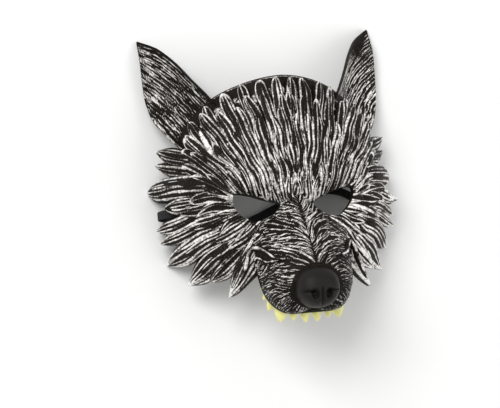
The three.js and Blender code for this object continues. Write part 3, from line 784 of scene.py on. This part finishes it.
def makeMuzzle(s, rng):
    u = np.linspace(0, 1, s["stations"])
    stations = s["from"] - (s["from"] - s["to"]) * (1 - (1 - u) ** s["crowding"])
    grid = muzzleSections(stations, s["columns"], gather=s["gather"])
    # the front is closed by a shallow dome below the nose
    inward = np.linspace(0, 0.97, s["domeRings"] + 1)[1:, None, None]
    middleOfFront = np.array([0, grid[-1, 0, 1], grid[-1, 0, 2] + 3])
    dome = grid[-1] + (middleOfFront - grid[-1]) * inward
    dome[..., 1] -= s["domeDepth"] * np.sqrt(1 - (1 - inward[..., 0]) ** 2)
    grid = np.concatenate([grid, dome])
    steps = np.linalg.norm(np.diff(grid, axis=1), axis=2)
    arc = np.concatenate([np.zeros((len(grid), 1)), np.cumsum(steps, 1)], 1)
    arc = arc[:, -1:] / 2 - arc
    # beyond the frontFrom line the distance is measured along the surface, so that strokes keep their size
    travel = np.linalg.norm(np.diff(grid, axis=0), axis=2)
    travel = np.concatenate([np.zeros((1, s["columns"])), np.cumsum(travel, 0)])
    atLine = travel[np.searchsorted(-stations, -s["frontFrom"])]
    down = np.where(grid[..., 1] > s["frontFrom"], grid[..., 1], s["frontFrom"] - (travel - atLine))
    flat = np.stack([arc, down], -1).reshape(-1, 2)
    fromEdge = (np.abs(arc[:, :1]) - np.abs(arc)).ravel()
    stroke = s["strokes"]
    corner, opposite = s["area"]
    seeds = brickSeeds(corner, opposite, stroke["along"], stroke["across"], rng)
    seeds = [p for p in seeds if abs(p[0]) > 3 and not lowOnMuzzle(p)]
    # a row on each side of the parting line
    for y in np.arange(-48, 8, stroke["across"]):
        seeds += [(side * rng.uniform(0.2, 1.4), y + rng.uniform(-0.4, 0.4)) for side in (-1, 1)]
    crest = strokeCrest(flat, seeds, muzzleFlow, stroke["length"], stroke["width"], rng, s["bend"])
    # finer strokes low on the sides and in front
    stroke = s["lowStrokes"]
    seeds = brickSeeds(corner, (opposite[0], -34), stroke["along"], stroke["across"], rng)
    seeds = [p for p in seeds if lowOnMuzzle(p)]
    fine = strokeCrest(flat, seeds, muzzleFlow, stroke["length"], stroke["width"], rng, s["bend"])
    crest = np.maximum(crest, fine)
    # nothing at the plain lip edge, round the nose and in the groove
    crest *= smooth(*s["lipEdge"], fromEdge)
    noseAt, noseWide, noseLong = s["noseBed"]
    noseGap = np.hypot(grid[..., 0] / noseWide, (grid[..., 1] - noseAt) / noseLong).ravel()
    crest *= smooth(0.98, 1.1, noseGap)
    folded = grid.reshape(-1, 3).copy()
    folded[:, 0] = np.abs(folded[:, 0])
    line = smoothRoute(s["groove"], 12)
    grooveGap = np.linalg.norm(folded[:, None] - line[None], axis=2).min(1)
    crest *= smooth(*s["grooveEdge"], grooveGap)
    normals = surfaceNormals(grid).reshape(-1, 3)
    outward = grid.reshape(-1, 3) - (0, 0, 45)
    outward[:, 1] = 0
    normals *= np.sign((normals * outward).sum(1, keepdims=True))
    bead = s["bead"]["high"] * np.exp(-(fromEdge / s["bead"]["spread"]) ** 2)
    points = grid.reshape(-1, 3) + normals * (crest * s["ridge"] + bead)[:, None]
    # the front stands back a little, and the lip hangs in two lobes with a notch between them
    beyond = np.minimum(points[:, 1] - s["frontFrom"], 0)
    points[:, 1] -= beyond * s["frontBack"]
    front = smooth(s["frontFrom"], -72, points[:, 1]) * smooth(16, 4, fromEdge)
    lobe = s["lobe"]
    out = lobe["out"] * np.exp(-((np.abs(points[:, 0]) - lobe["at"]) / lobe["spread"]) ** 2)
    out = out - lobe["notch"] * np.exp(-(points[:, 0] / lobe["notchSpread"]) ** 2)
    points[:, 1] -= out * front
    paint = s["paint"][0] + (s["paint"][1] - s["paint"][0]) * smooth(-2, 6, points[:, 0])
    paint = paint - s["dimmer"] * smooth(-32, -44, flat[:, 1]) * smooth(11, 18, np.abs(flat[:, 0]))
    relief = np.stack([crest, paint], 1)
    return makeMesh("muzzle", points, tubeFaces(len(grid), s["columns"]), relief)


# Rolled fold at the corner of the lip
lipFold = {
    "steps": 40,
    "around": 24,
    "paint": 0.85,
    # spine, radius and width of the white crest of the outer and of the inner roll, from the bridge side
    "rolls": [
        ([(19.6, -41.7, 91.2), (25.8, -39.2, 84.9), (27.5, -36.7, 81.8), (29.7, -33.3, 77),
          (32.5, -30.5, 71.2), (35.5, -30, 65), (38, -33.4, 63.6), (39.4, -38.3, 63.2), (41.2, -44, 62),
          (44.5, -50, 58.5), (48.5, -56, 53)], 2.1, 0.7),
        ([(24, -42, 88.6), (26.9, -41.8, 84.7), (29.6, -41.6, 80.4), (31.4, -39.9, 76.1), (32.8, -37.8, 72),
          (33.8, -37.1, 68.4), (34.4, -38.6, 65.4), (35.2, -41, 63.6)], 1.5, 0.5),
    ],
}


def makeRolls(s, rng):
    made = []
    for mirror in (False, True):
        for spine, radius, crestWidth in s["rolls"]:
            route = smoothRoute(spine, s["steps"])
            along = unit(np.gradient(route, axis=0))
            out = unit(np.array([0.45, 0, 1.0]) - along * along.dot((0.45, 0, 1.0))[:, None])
            side = np.cross(along, out)
            a = np.linspace(0, 2 * math.pi, s["around"], endpoint=False)
            t = np.linspace(0, 1, s["steps"] + 1)
            size = radius * (0.35 + 0.65 * np.sqrt(np.clip(4 * t * (1 - t), 0, 1)))
            ring = out[:, None] * np.cos(a)[None, :, None] + side[:, None] * np.sin(a)[None, :, None]
            points = route[:, None] + ring * size[:, None, None]
            # a white line along its back, wider here and narrower there, and broken in places
            turn = np.minimum(a, 2 * math.pi - a)
            offset = crestWidth * (1 + 0.3 * np.sin(9 * t + rng.uniform(0, 6)))[:, None]
            broken = 0.72 + 0.2 * np.sin(rng.uniform(18, 30) * t + rng.uniform(0, 6))
            broken += 0.1 * np.sin(rng.uniform(40, 60) * t)
            crest = broken[:, None] * np.exp(-(turn[None, :] / offset) ** 2)
            relief = np.stack([crest.ravel(), np.full(crest.size, s["paint"])], 1)
            faces = tubeFaces(len(route), s["around"])
            made.append(makeMesh("lipFold", points, faces, relief, mirror=mirror))
    return made


# Nose
nose = {
    "centre": (0, -62.8, 92),
    "half": (15.2, 13.9, 13.7),
    "squareness": 2.35,
    "around": 120,
    "rows": 84,
    "narrowing": 0.1,
    # sunk in front, or raised if below zero: depth, place across and along, spread across and along
    "nostril": (4.8, 5, -68.6, 2.3, 3),
    "nostrilSteepness": 1.6,
    "ball": (-1.8, 4.6, -68.6, 1.2, 1.7),
    "lobe": (-1.2, 8.5, -71.3, 3.6, 2.6),
    # slit beside each nostril and the groove between them: depth and half width
    "slit": (1.9, 0.8),
    "groove": (1.6, 0.9),
}


def sunk(spec, x, y, steepness=1):
    deep, atX, atY, wide, long = spec
    return deep * np.exp(-(((x - atX) / wide) ** 2 + ((y - atY) / long) ** 2) ** steepness)


def makeNose(s):
    angle = np.linspace(0, 2 * math.pi, s["around"], endpoint=False)
    tilt = np.linspace(0.02, math.pi - 0.02, s["rows"])
    t, a = np.meshgrid(tilt, angle, indexing="ij")
    d = np.stack([np.sin(t) * np.cos(a), np.sin(t) * np.sin(a), np.cos(t)], -1)
    d /= (np.abs(d) ** s["squareness"]).sum(-1, keepdims=True) ** (1 / s["squareness"])
    points = np.array(s["centre"]) + d * np.array(s["half"])
    x, y = np.abs(points[..., 0]), points[..., 1]
    # narrower towards the lip
    points[..., 0] *= 1 - s["narrowing"] * smooth(-66, -76, y)
    front = smooth(0.05, 0.2, np.cos(t))
    slit = np.exp(-((y + 66.6 - 0.1 * (x - 6)) / s["slit"][1]) ** 2) * smooth(4, 7, x) * smooth(14.6, 11, x)
    groove = np.exp(-(x / s["groove"][1]) ** 2) * smooth(-62.5, -66, y)
    down = sunk(s["nostril"], x, y, s["nostrilSteepness"]) + sunk(s["ball"], x, y)
    down = (down + s["slit"][0] * slit + s["groove"][0] * groove + sunk(s["lobe"], x, y)) * front
    points[..., 2] -= down
    finish = np.zeros((points.shape[0] * points.shape[1], 2))
    finish[:, 0] = 1
    relief = np.zeros_like(finish)
    # the depth of the hollows goes into the crest channel, where it darkens the nostrils, slits and groove
    # as painted shade
    relief[:, 0] = np.clip(down.ravel() / 4, 0, 1)
    faces = turned(tubeFaces(s["rows"], s["around"]))
    return makeMesh("nose", points, faces, relief, finish)


# Ears
ear = {
    # edges from the foot to the tip
    "inner": [(43, 74, 45), (49, 84, 42), (57.7, 98.4, 33), (66, 113.7, 23), (75.3, 126.4, 13),
              (87, 135, 2)],
    "outer": [(69, 48, 29), (77, 60, 22.5), (84.5, 76, 11), (87.4, 94, 7.5), (88, 114, 8.5),
              (87.6, 134.5, 2)],
    "cup": [9, 12, 11, 8, 4, 0.5],
    "thickness": 2.6,
    "rows": 90,
    "columns": 77,
    "rearColumns": 21,
    "ridge": 0.4,
    "layLength": 105,
    "strokes": {"along": 11, "across": 2.0, "length": 17, "width": 0.39, "bend": 0.2},
    "paint": (0.8, 0.92),
    # more of the crest and of the paint where it is smudged, and the white line along the outer edge
    "smudgeCrest": 0.2,
    "smudgePaint": 0.1,
    "line": {"in": 0.8, "half": 0.6, "strength": 0.72},
    # the rim's wall goes on down to the ear between these angles, this far inside the rim
    "foot": {"from": 30, "to": 62, "steps": 50, "outer": 0.3, "inner": 2.3, "into": 1.3},
    # white smudges and bare places, as along and across shares with their spreads, on the left and the right
    "smudges": ([(0.58, 0.8, 0.08, 0.18), (0.72, 0.7, 0.08, 0.2), (0.86, 0.6, 0.08, 0.3)],
                [(0.5, 0.4, 0.12, 0.3)]),
    "bare": ([(0.06, 0.35, 0.12, 0.3)], [(0.95, 0.2, 0.3, 0.35), (0.02, 0.6, 0.14, 0.4)]),
}


def earFoot(s, front, mirror):
    # short wall between the rim and the ear, which closes the bottom of its cup
    angle = np.linspace(s["from"], s["to"], s["steps"])
    rim = facePoint(angle, np.ones(len(angle)))
    out = np.stack([np.cos(np.radians(angle)), np.sin(np.radians(angle))], 1)
    cup = front.reshape(-1, 3)
    corners = []
    for inset in (s["outer"], s["inner"]):
        place = rim[:, :2] - out * inset
        nearest = np.linalg.norm(place[:, None] - cup[None, :, :2], axis=2).argmin(1)
        low = np.minimum(cup[nearest, 2] - s["into"], rim[:, 2] - s["into"])
        corners.append([np.column_stack([place, rim[:, 2] - 0.4]), np.column_stack([place, low])])
    (outerTop, outerLow), (innerTop, innerLow) = corners
    points = np.stack([outerLow, innerLow, innerTop, outerTop], 1)
    return makeMesh("earFoot", points, tubeFaces(len(angle), 4), mirror=mirror)


def makeEar(s, rng, mirror):
    place = np.linspace(0, 1, 6)
    t = np.linspace(0, 1, s["rows"])

    def edge(side, at):
        values = np.array(s[side], float)
        return np.stack([through(place, values[:, k], at) for k in range(3)], 1)

    inner, outer = edge("inner", t), edge("outer", t)
    width = outer - inner
    step = 0.02
    along = edge("inner", np.minimum(1, t + step)) - edge("inner", np.maximum(0, t - step))
    back = unit(np.cross(along, width))
    back *= -np.sign(back[:, 2:3])
    depth = through(place, s["cup"], t)
    c = np.linspace(0, 1, s["columns"])
    front = (inner[:, None] + width[:, None] * c[None, :, None]
             + back[:, None] * (depth[:, None] * (1 - (2 * c[None, :] - 1) ** 2))[..., None])
    wide = np.linalg.norm(width, axis=1)[:, None]
    flat = np.stack([c[None, :] * wide, np.broadcast_to(t[:, None] * s["layLength"], (len(t), len(c)))], -1)
    flat = flat.reshape(-1, 2)
    stroke = s["strokes"]
    far = (wide.max() + 2, s["layLength"] + 3)
    seeds = brickSeeds((-2, -5), far, stroke["along"], stroke["across"], rng, upwards=True)
    crest = strokeCrest(flat, seeds, lambda p: np.array([0.04, 1.0]), stroke["length"], stroke["width"], rng,
                        stroke["bend"])
    crest = crest.reshape(front.shape[:2])
    fromInner = c[None, :] * wide
    fromOuter = (1 - c[None, :]) * wide
    # bare along the inner edge, and at the foot no white: partly unbrushed, partly painted shade of the
    # hollow where the ear meets the head
    foot = smooth(0.1, 0.25, t[:, None] + 0.12 * (2 * c[None, :] - 1) ** 2)
    crest = crest * smooth(0.6, 2.6, fromInner) * foot

    def patches(places):
        cover = np.zeros(crest.shape)
        for at, over, long, broad in places:
            patch = np.exp(-((t[:, None] - at) / long) ** 2 - ((c[None, :] - over) / broad) ** 2)
            cover = np.maximum(cover, patch)
        return cover

    side = 0 if mirror else 1
    smudge = patches(s["smudges"][side])
    crest = crest * (1 - patches(s["bare"][side]))
    crest = np.minimum(1, crest + s["smudgeCrest"] * smudge)
    line = np.exp(-((fromOuter - s["line"]["in"]) / s["line"]["half"]) ** 2)
    crest = np.maximum(crest, line * (1 - smooth(0.25, 0.4, t))[:, None] * s["line"]["strength"])
    paint = s["paint"][side] + s["smudgePaint"] * smudge
    front = front - back[:, None] * (crest * s["ridge"])[..., None]
    sparse = np.linspace(0, s["columns"] - 1, s["rearColumns"]).astype(int)[::-1]
    rear = front[:, sparse] + back[:, None] * (s["thickness"] + crest[:, sparse] * s["ridge"])[..., None]
    rings = np.concatenate([front, rear], 1)
    relief = np.concatenate([np.stack([crest, paint], -1), np.zeros((len(t), s["rearColumns"], 2))], 1)
    faces = tubeFaces(len(t), rings.shape[1])
    leaf = makeMesh("ear", rings, faces, relief.reshape(-1, 2), mirror=mirror)
    return leaf, earFoot(s["foot"], front, mirror)


# Hollows and openings
hollow = {
    "eyeHole": [(12, 0), (21, 4.5), (32, 8.5), (43, 9.5), (43, 1), (37, -6.5), (30, -10.5), (22, -9.5),
                (15.5, -5.5)],
    "eyeSteps": 6,
    # stations of the room in the muzzle, from the brow to the front
    "muzzle": [12, 6, 0, -7, -16, -25, -34, -43, -50, -56, -62, -66, -69, -72, -74.5, -76.5, -77.6, -78],
    # pad that the elastic is bonded to, and the notch from there outwards
    "lug": {"x": 67, "y": 5, "length": 9, "width": 9, "top": 31, "bottom": 25.6},
    "notch": {"before": 6, "length": 60, "low": -40},
    "below": -30,
}


def plainMesh(name, points, faces):
    points = np.asarray(points, float).reshape(-1, 3)
    return makeMesh(name, points, faces, None, np.tile((0.0, 1.0), (len(points), 1)))


def prism(name, outline, low, high):
    count = len(outline)
    points = [(x, y, low) for x, y in outline] + [(x, y, high) for x, y in outline]
    return plainMesh(name, points, tubeFaces(2, count))


def block(name, x, y, z):
    return prism(name, [(x[0], y[0]), (x[1], y[0]), (x[1], y[1]), (x[0], y[1])], *z)


def bothSides(name, x, y, z):
    return [block(name, x, y, z), block(name, (-x[1], -x[0]), y, z)]


def faceRoom(s):
    inside = plateLayer(np.linspace(1, 0.015, 30), plate["wall"], 60)
    floor = inside[:1].copy()
    floor[..., 2] = s["below"]
    rings = np.concatenate([floor, inside])
    return plainMesh("faceRoom", rings, tubeFaces(len(rings), rings.shape[1]))


def muzzleRoom(s):
    grid = muzzleSections(np.array(s["muzzle"]), 41, plate["wall"])
    foot = grid[:, [-1, 0]].copy()
    foot[..., 2] = s["below"]
    rings = np.concatenate([grid, foot], 1)
    return plainMesh("muzzleRoom", rings, tubeFaces(len(rings), rings.shape[1]))


def eyeHoles(s):
    # smooth closed outline through the points of one eye, and its mirror image
    outline = np.array(s["eyeHole"], float)
    count = len(outline)
    fine = []
    for k in range(count):
        a, b, c, d = (outline[(k + j) % count] for j in (-1, 0, 1, 2))
        for t in np.arange(s["eyeSteps"]) / s["eyeSteps"]:
            bend = t * (2 * a - 5 * b + 4 * c - d + t * (3 * b - a - 3 * c + d))
            fine.append(b + 0.5 * t * (c - a + bend))
    fine = np.array(fine)[::-1]
    return [prism("eyeHole", fine, 0, 100), prism("eyeHole", (fine * (-1, 1))[::-1], 0, 100)]


def lugSides(lug):
    return lug["y"] - lug["width"] / 2, lug["y"] + lug["width"] / 2


def makeCuts(s):
    lug, notch = s["lug"], s["notch"]
    near = lug["x"] - notch["before"]
    rooms = [faceRoom(s), muzzleRoom(s)] + eyeHoles(s)
    ways = bothSides("bandWay", (near, near + notch["length"]), lugSides(lug), (notch["low"], lug["bottom"]))
    # the last one takes off whatever would lie under the floor
    return rooms + ways + [block("floorBlock", (-200, 200), (-200, 200), (-100, 0))]


def makeLugs(s):
    lug = s["lug"]
    ends = (lug["x"] - lug["length"] / 2, lug["x"] + lug["length"] / 2)
    return bothSides("lug", ends, lugSides(lug), (lug["bottom"], lug["top"]))


# Joining the mask into one piece
def joinWith(whole, operation, others):
    group = bpy.data.collections.new(operation.lower())
    bpy.context.scene.collection.children.link(group)
    for other in others:
        group.objects.link(other)
    step = whole.modifiers.new(operation.lower(), "BOOLEAN")
    step.operation = operation
    step.operand_type = "COLLECTION"
    step.collection = group
    step.solver = "MANIFOLD"
    joined = bpy.data.meshes.new_from_object(whole.evaluated_get(bpy.context.evaluated_depsgraph_get()))
    whole.modifiers.clear()
    whole.data = joined
    for other in others:
        bpy.data.objects.remove(other)
    bpy.data.collections.remove(group)
    print("%s with %d forms: %d faces" % (operation.lower(), len(others), len(joined.polygons)))


def keepLargest(mesh):
    # drops small closed pockets that locks shut in between them, and slivers along the seams
    b = bmesh.new()
    b.from_mesh(mesh)
    bmesh.ops.remove_doubles(b, verts=b.verts, dist=1e-7)
    b.faces.ensure_lookup_table()
    shared = [edge for edge in b.edges if len(edge.link_faces) == 2]
    first, second = np.array([[face.index for face in edge.link_faces] for edge in shared]).T
    # every face takes the lowest number of its neighbours until nothing changes
    label = np.arange(len(b.faces))
    while True:
        least = np.minimum(label[first], label[second])
        new = label.copy()
        np.minimum.at(new, first, least)
        np.minimum.at(new, second, least)
        new = new[new]
        if (new == label).all():
            break
        label = new
    names, sizes = np.unique(label, return_counts=True)
    drop = np.flatnonzero(label != names[sizes.argmax()])
    print("bodies: %d, faces in the small ones: %d" % (len(names), len(drop)))
    bmesh.ops.delete(b, geom=[b.faces[int(i)] for i in drop], context="FACES")
    print("open edges left: %d" % sum(len(edge.link_faces) != 2 for edge in b.edges))
    b.to_mesh(mesh)
    b.free()


rubber = {
    "grainScale": 1100.0,
    "patchScale": 95.0,
    "speckScale": 2400.0,
    "streakScale": 420.0,
    # how much the grain, the patches and a heavy brush change where the paint takes
    "grainShare": 0.8,
    "patchShare": 0.7,
    "brushShare": 0.5,
    # the crest from which paint starts to take, and from which it covers
    "takes": (0.4, 0.74),
    # pairs from thin or patchy to full
    "dark": ((0.0035, 0.0026, 0.0012, 1), (0.0078, 0.006, 0.0036, 1)),
    "white": ((0.68, 0.64, 0.585, 1), (0.98, 0.955, 0.925, 1)),
    # the nose: its own colour on its skin, and painted shade in its hollows, darker the deeper they go
    "noseAndHollowShade": ((0.016, 0.0155, 0.0145, 1), (0.003, 0.003, 0.003, 1)),
    "specular": 0.11,
    "specularTint": (1, 0.94, 0.86, 1),
    # bare and painted, and how much smoother the nose is
    "roughness": (0.55, 0.8),
    "noseSmoother": 0.08,
    "poreStrength": 0.35,
    "poreDepth": 0.00025,
}


def furMaterial(s):
    n = Nodes("brushedRubber")
    place = n.add("ShaderNodeTexCoord").outputs["Object"]
    crest, paint = n.layer("relief")
    onNose, inside = n.layer("finish")
    grain = n.noise(place, s["grainScale"], 4.0, 0.6)
    patch = n.noise(place, s["patchScale"], 3.0, 0.6)
    speck = n.noise(place, s["speckScale"], 2.0, 0.5)
    # the dry brush catches the ridges, more or less of them from place to place
    touch = n.shifted(crest, grain, 0.5, s["grainShare"])
    touch = n.shifted(touch, patch, 0.5, s["patchShare"])
    # where the brush went heavily the lines are wider and the grooves are dusty
    touch = n.shifted(touch, paint, 0.85, s["brushShare"])
    streak = n.step(n.noise(place, s["streakScale"], 2.0, 0.5), 0.34, 0.6)
    streak = n.math("ADD", n.math("MULTIPLY", streak, 0.5), 0.54)
    spread = n.math("MINIMUM", n.math("MULTIPLY", paint, streak), 1.0)
    brushed = n.math("MULTIPLY", n.step(touch, *s["takes"]), spread)
    dusty = n.math("ADD", n.math("MULTIPLY", n.step(paint, 0.8, 1.1), 0.12), 0.05)
    dust = n.math("MULTIPLY", n.step(n.math("MULTIPLY", speck, grain), 0.27, 0.42), dusty)
    brushed = n.math("MAXIMUM", brushed, dust)
    # no paint on the nose and inside
    bare = n.math("SUBTRACT", 1.0, n.math("MAXIMUM", onNose, inside, True), True)
    brushed = n.math("MULTIPLY", brushed, bare)
    full = n.step(n.math("MULTIPLY", brushed, n.math("ADD", grain, 0.5)), 0.2, 0.85)
    # on the nose the crest channel holds the depth of its hollows, which darkens them as painted shade
    unpainted = n.mix(onNose, n.mix(patch, *s["dark"]), n.mix(crest, *s["noseAndHollowShade"]))
    n.put(n.shader, "Base Color", n.mix(brushed, unpainted, n.mix(full, *s["white"])))
    n.put(n.shader, "Specular IOR Level", s["specular"])
    n.put(n.shader, "Specular Tint", s["specularTint"])
    low, high = s["roughness"]
    rough = n.add("ShaderNodeMapRange", [("Value", brushed), ("To Min", low), ("To Max", high)]).outputs[0]
    n.put(n.shader, "Roughness", n.math("SUBTRACT", rough, n.math("MULTIPLY", onNose, s["noseSmoother"])))
    pores = n.math("ADD", n.math("MULTIPLY", grain, 0.6), n.math("MULTIPLY", speck, 0.4))
    n.put(n.shader, "Normal", n.bump(pores, s["poreStrength"], s["poreDepth"]))
    return n.material


mask = {
    "seed": 7,
    "sharpFrom": 48,
}


def finishPiece(whole, name, material, sharpFrom):
    whole.name = whole.data.name = name
    keepLargest(whole.data)
    whole.data.materials.clear()
    whole.data.materials.append(material)
    whole.data.polygons.foreach_set("material_index", np.zeros(len(whole.data.polygons), int))
    whole.data.shade_smooth()
    whole.data.set_sharp_from_angle(angle=math.radians(sharpFrom))


def makeMask(s):
    rng = np.random.default_rng(s["seed"])
    whole = makePlate(plate, rng)
    bpy.context.scene.collection.objects.link(whole)
    forms = [makeMuzzle(muzzle, rng), makeNose(nose)]
    ears, feet = zip(makeEar(ear, rng, False), makeEar(ear, rng, True))
    forms += list(ears) + makeLocks(rng)
    rolls = makeRolls(lipFold, rng)
    print("forms of the mask made: %d" % len(forms + rolls))
    joinWith(whole, "UNION", forms)
    joinWith(whole, "UNION", rolls + list(feet))
    joinWith(whole, "DIFFERENCE", makeCuts(hollow))
    joinWith(whole, "UNION", makeLugs(hollow))
    finishPiece(whole, "mask", furMaterial(rubber), s["sharpFrom"])
    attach(whole, "root")
    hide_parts("mask_shell")


makeMask(mask)
print("mask moulded")


# Teeth
teeth = {
    # one side from the front: root, tip, width
    "row": [
        ((4.1, -71, 70.5), (4.2, -84, 69.4), 8.4), ((12, -70.5, 70), (12.6, -82, 69), 7.6),
        ((19.2, -69, 68), (21.2, -82, 65.5), 11), ((23.4, -64, 65.4), (27.6, -73, 61), 7.6),
        ((24.2, -58, 63), (30, -65, 60), 6.8), ((25, -53, 61.8), (30.8, -58, 58.8), 5.8),
        ((25.6, -48.6, 61.2), (31, -51.6, 57.8), 4.8),
    ],
    "fullness": 0.97,
    "rings": 16,
    "around": 22,
    # how late and how bluntly a tooth narrows, the radius of its tip, how far it bends and how flat it is
    "narrowing": (2.3, 0.75),
    "tipRadius": 0.12,
    "bend": 0.45,
    "flatness": 0.8,
    "gumHeight": 7,
    "gumThickness": 4.4,
    "gumRings": 70,
    "gumAround": 20,
    "sharpFrom": 40,
    # yellow at the root, pale further out, and flecks
    "root": (0.5, 0.42, 0.1, 1),
    "pale": (0.86, 0.83, 0.32, 1),
    "fleck": (0.62, 0.56, 0.2, 1),
    "cloudScale": 220.0,
    "fleckScale": 1500.0,
    "roughness": 0.36,
}


def toothForm(s, root, tip, width, mirror):
    root, tip = np.array(root, float), np.array(tip, float)
    direction = unit(tip - root)
    side = unit(np.cross(direction, (0, 0, 1)))
    up = np.cross(side, direction)
    late, blunt = s["narrowing"]
    t = np.linspace(0, 1, s["rings"]) ** 0.85
    a = np.linspace(0, 2 * math.pi, s["around"], endpoint=False)
    points = []
    for at in t:
        radius = width / 2 * s["fullness"] * (1 - at ** late) ** blunt + s["tipRadius"]
        centre = root + (tip - root) * at - up * s["bend"] * math.sin(math.pi * at)
        across = np.cos(a)[:, None] * side + s["flatness"] * np.sin(a)[:, None] * up
        points.append(centre + radius * across)
    relief = np.repeat(np.stack([t, np.zeros(len(t))], 1), s["around"], 0)
    faces = turned(tubeFaces(s["rings"], s["around"]))
    return makeMesh("tooth", points, faces, relief, mirror=mirror)


def gumForm(s):
    # strip along the roots, an oval with nearly flat sides across
    half = [np.array(root, float) for root, _, _ in s["row"]]
    route = smoothRoute([p * (-1, 1, 1) for p in half[::-1]] + half, s["gumRings"])
    along = unit(np.gradient(route, axis=0))
    inward = unit(np.cross((0, 0, 1), along))
    a = np.linspace(0, 2 * math.pi, s["gumAround"], endpoint=False)
    cos, sin = np.cos(a), np.sin(a)
    across = np.sign(cos) * np.abs(cos) ** 0.6 * s["gumThickness"] / 2
    high = np.sign(sin) * np.abs(sin) ** 0.6 * s["gumHeight"] / 2
    up = np.array([0, 0, 1.0])
    points = route[:, None] + inward[:, None] * across[None, :, None] + up * high[None, :, None]
    return makeMesh("gum", points, tubeFaces(len(route), s["gumAround"]))


def toothMaterial(s):
    n = Nodes("paleTooth")
    place = n.add("ShaderNodeTexCoord").outputs["Object"]
    toTip, _ = n.layer("relief")
    cloud = n.noise(place, s["cloudScale"], 3.0, 0.6)
    fleck = n.noise(place, s["fleckScale"], 2.0, 0.5)
    shade = n.shifted(toTip, cloud, 0.5, 0.8)
    colour = n.mix(n.step(shade, -0.1, 0.55), s["root"], s["pale"])
    colour = n.mix(n.math("MULTIPLY", n.step(fleck, 0.6, 0.78), 0.25), colour, s["fleck"])
    n.put(n.shader, "Base Color", colour)
    n.put(n.shader, "Roughness", s["roughness"])
    n.put(n.shader, "Normal", n.bump(n.math("ADD", cloud, n.math("MULTIPLY", fleck, 0.3)), 0.3, 0.0004))
    return n.material


def makeTeeth(s):
    whole = gumForm(s)
    bpy.context.scene.collection.objects.link(whole)
    joinWith(whole, "UNION", [toothForm(s, *tooth, left) for tooth in s["row"] for left in (False, True)])
    finishPiece(whole, "teeth", toothMaterial(s), s["sharpFrom"])
    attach(whole, "root")
    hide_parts("upper_teeth")


makeTeeth(teeth)
print("teeth set in the lip")


# Floor and light
studio = {
    "floor": (0.93, 0.93, 0.925, 1),
    "floorRoughness": 0.9,
    # half the floor's side, and how far it lies under the tips that the mask rests on
    "floorHalf": 3.0,
    "floorUnder": 0.0005,
    "world": (1.0, 1.0, 1.0, 1),
    "worldStrength": 0.5,
    # name, place, size, power
    "lights": [("key", (-0.9, 0.6, 1.6), 1.0, 23), ("fill", (1.1, -0.6, 1.2), 1.2, 8)],
}


def addStudio(s):
    h, z = s["floorHalf"], -s["floorUnder"]
    mesh = bpy.data.meshes.new("floor")
    mesh.from_pydata([(-h, -h, z), (h, -h, z), (h, h, z), (-h, h, z)], [], [(0, 1, 2, 3)])
    floor = bpy.data.objects.new("floor", mesh)
    bpy.context.scene.collection.objects.link(floor)
    n = Nodes("paleFloor")
    n.put(n.shader, "Base Color", s["floor"])
    n.put(n.shader, "Roughness", s["floorRoughness"])
    mesh.materials.append(n.material)
    world = bpy.data.worlds.new("studio")
    world.use_nodes = True
    backdrop = world.node_tree.nodes["Background"]
    backdrop.inputs[0].default_value = s["world"]
    backdrop.inputs[1].default_value = s["worldStrength"]
    bpy.context.scene.world = world
    for name, place, size, power in s["lights"]:
        data = bpy.data.lights.new(name, "AREA")
        data.size = size
        data.energy = power
        light = bpy.data.objects.new(name, data)
        bpy.context.scene.collection.objects.link(light)
        light.location = place
        away = -np.array(place) / np.linalg.norm(place)
        light.rotation_euler = Vector(away).to_track_quat("-Z", "Y").to_euler()


addStudio(studio)
bpy.context.scene.view_settings.view_transform = "Standard"
print("floor and lights set")
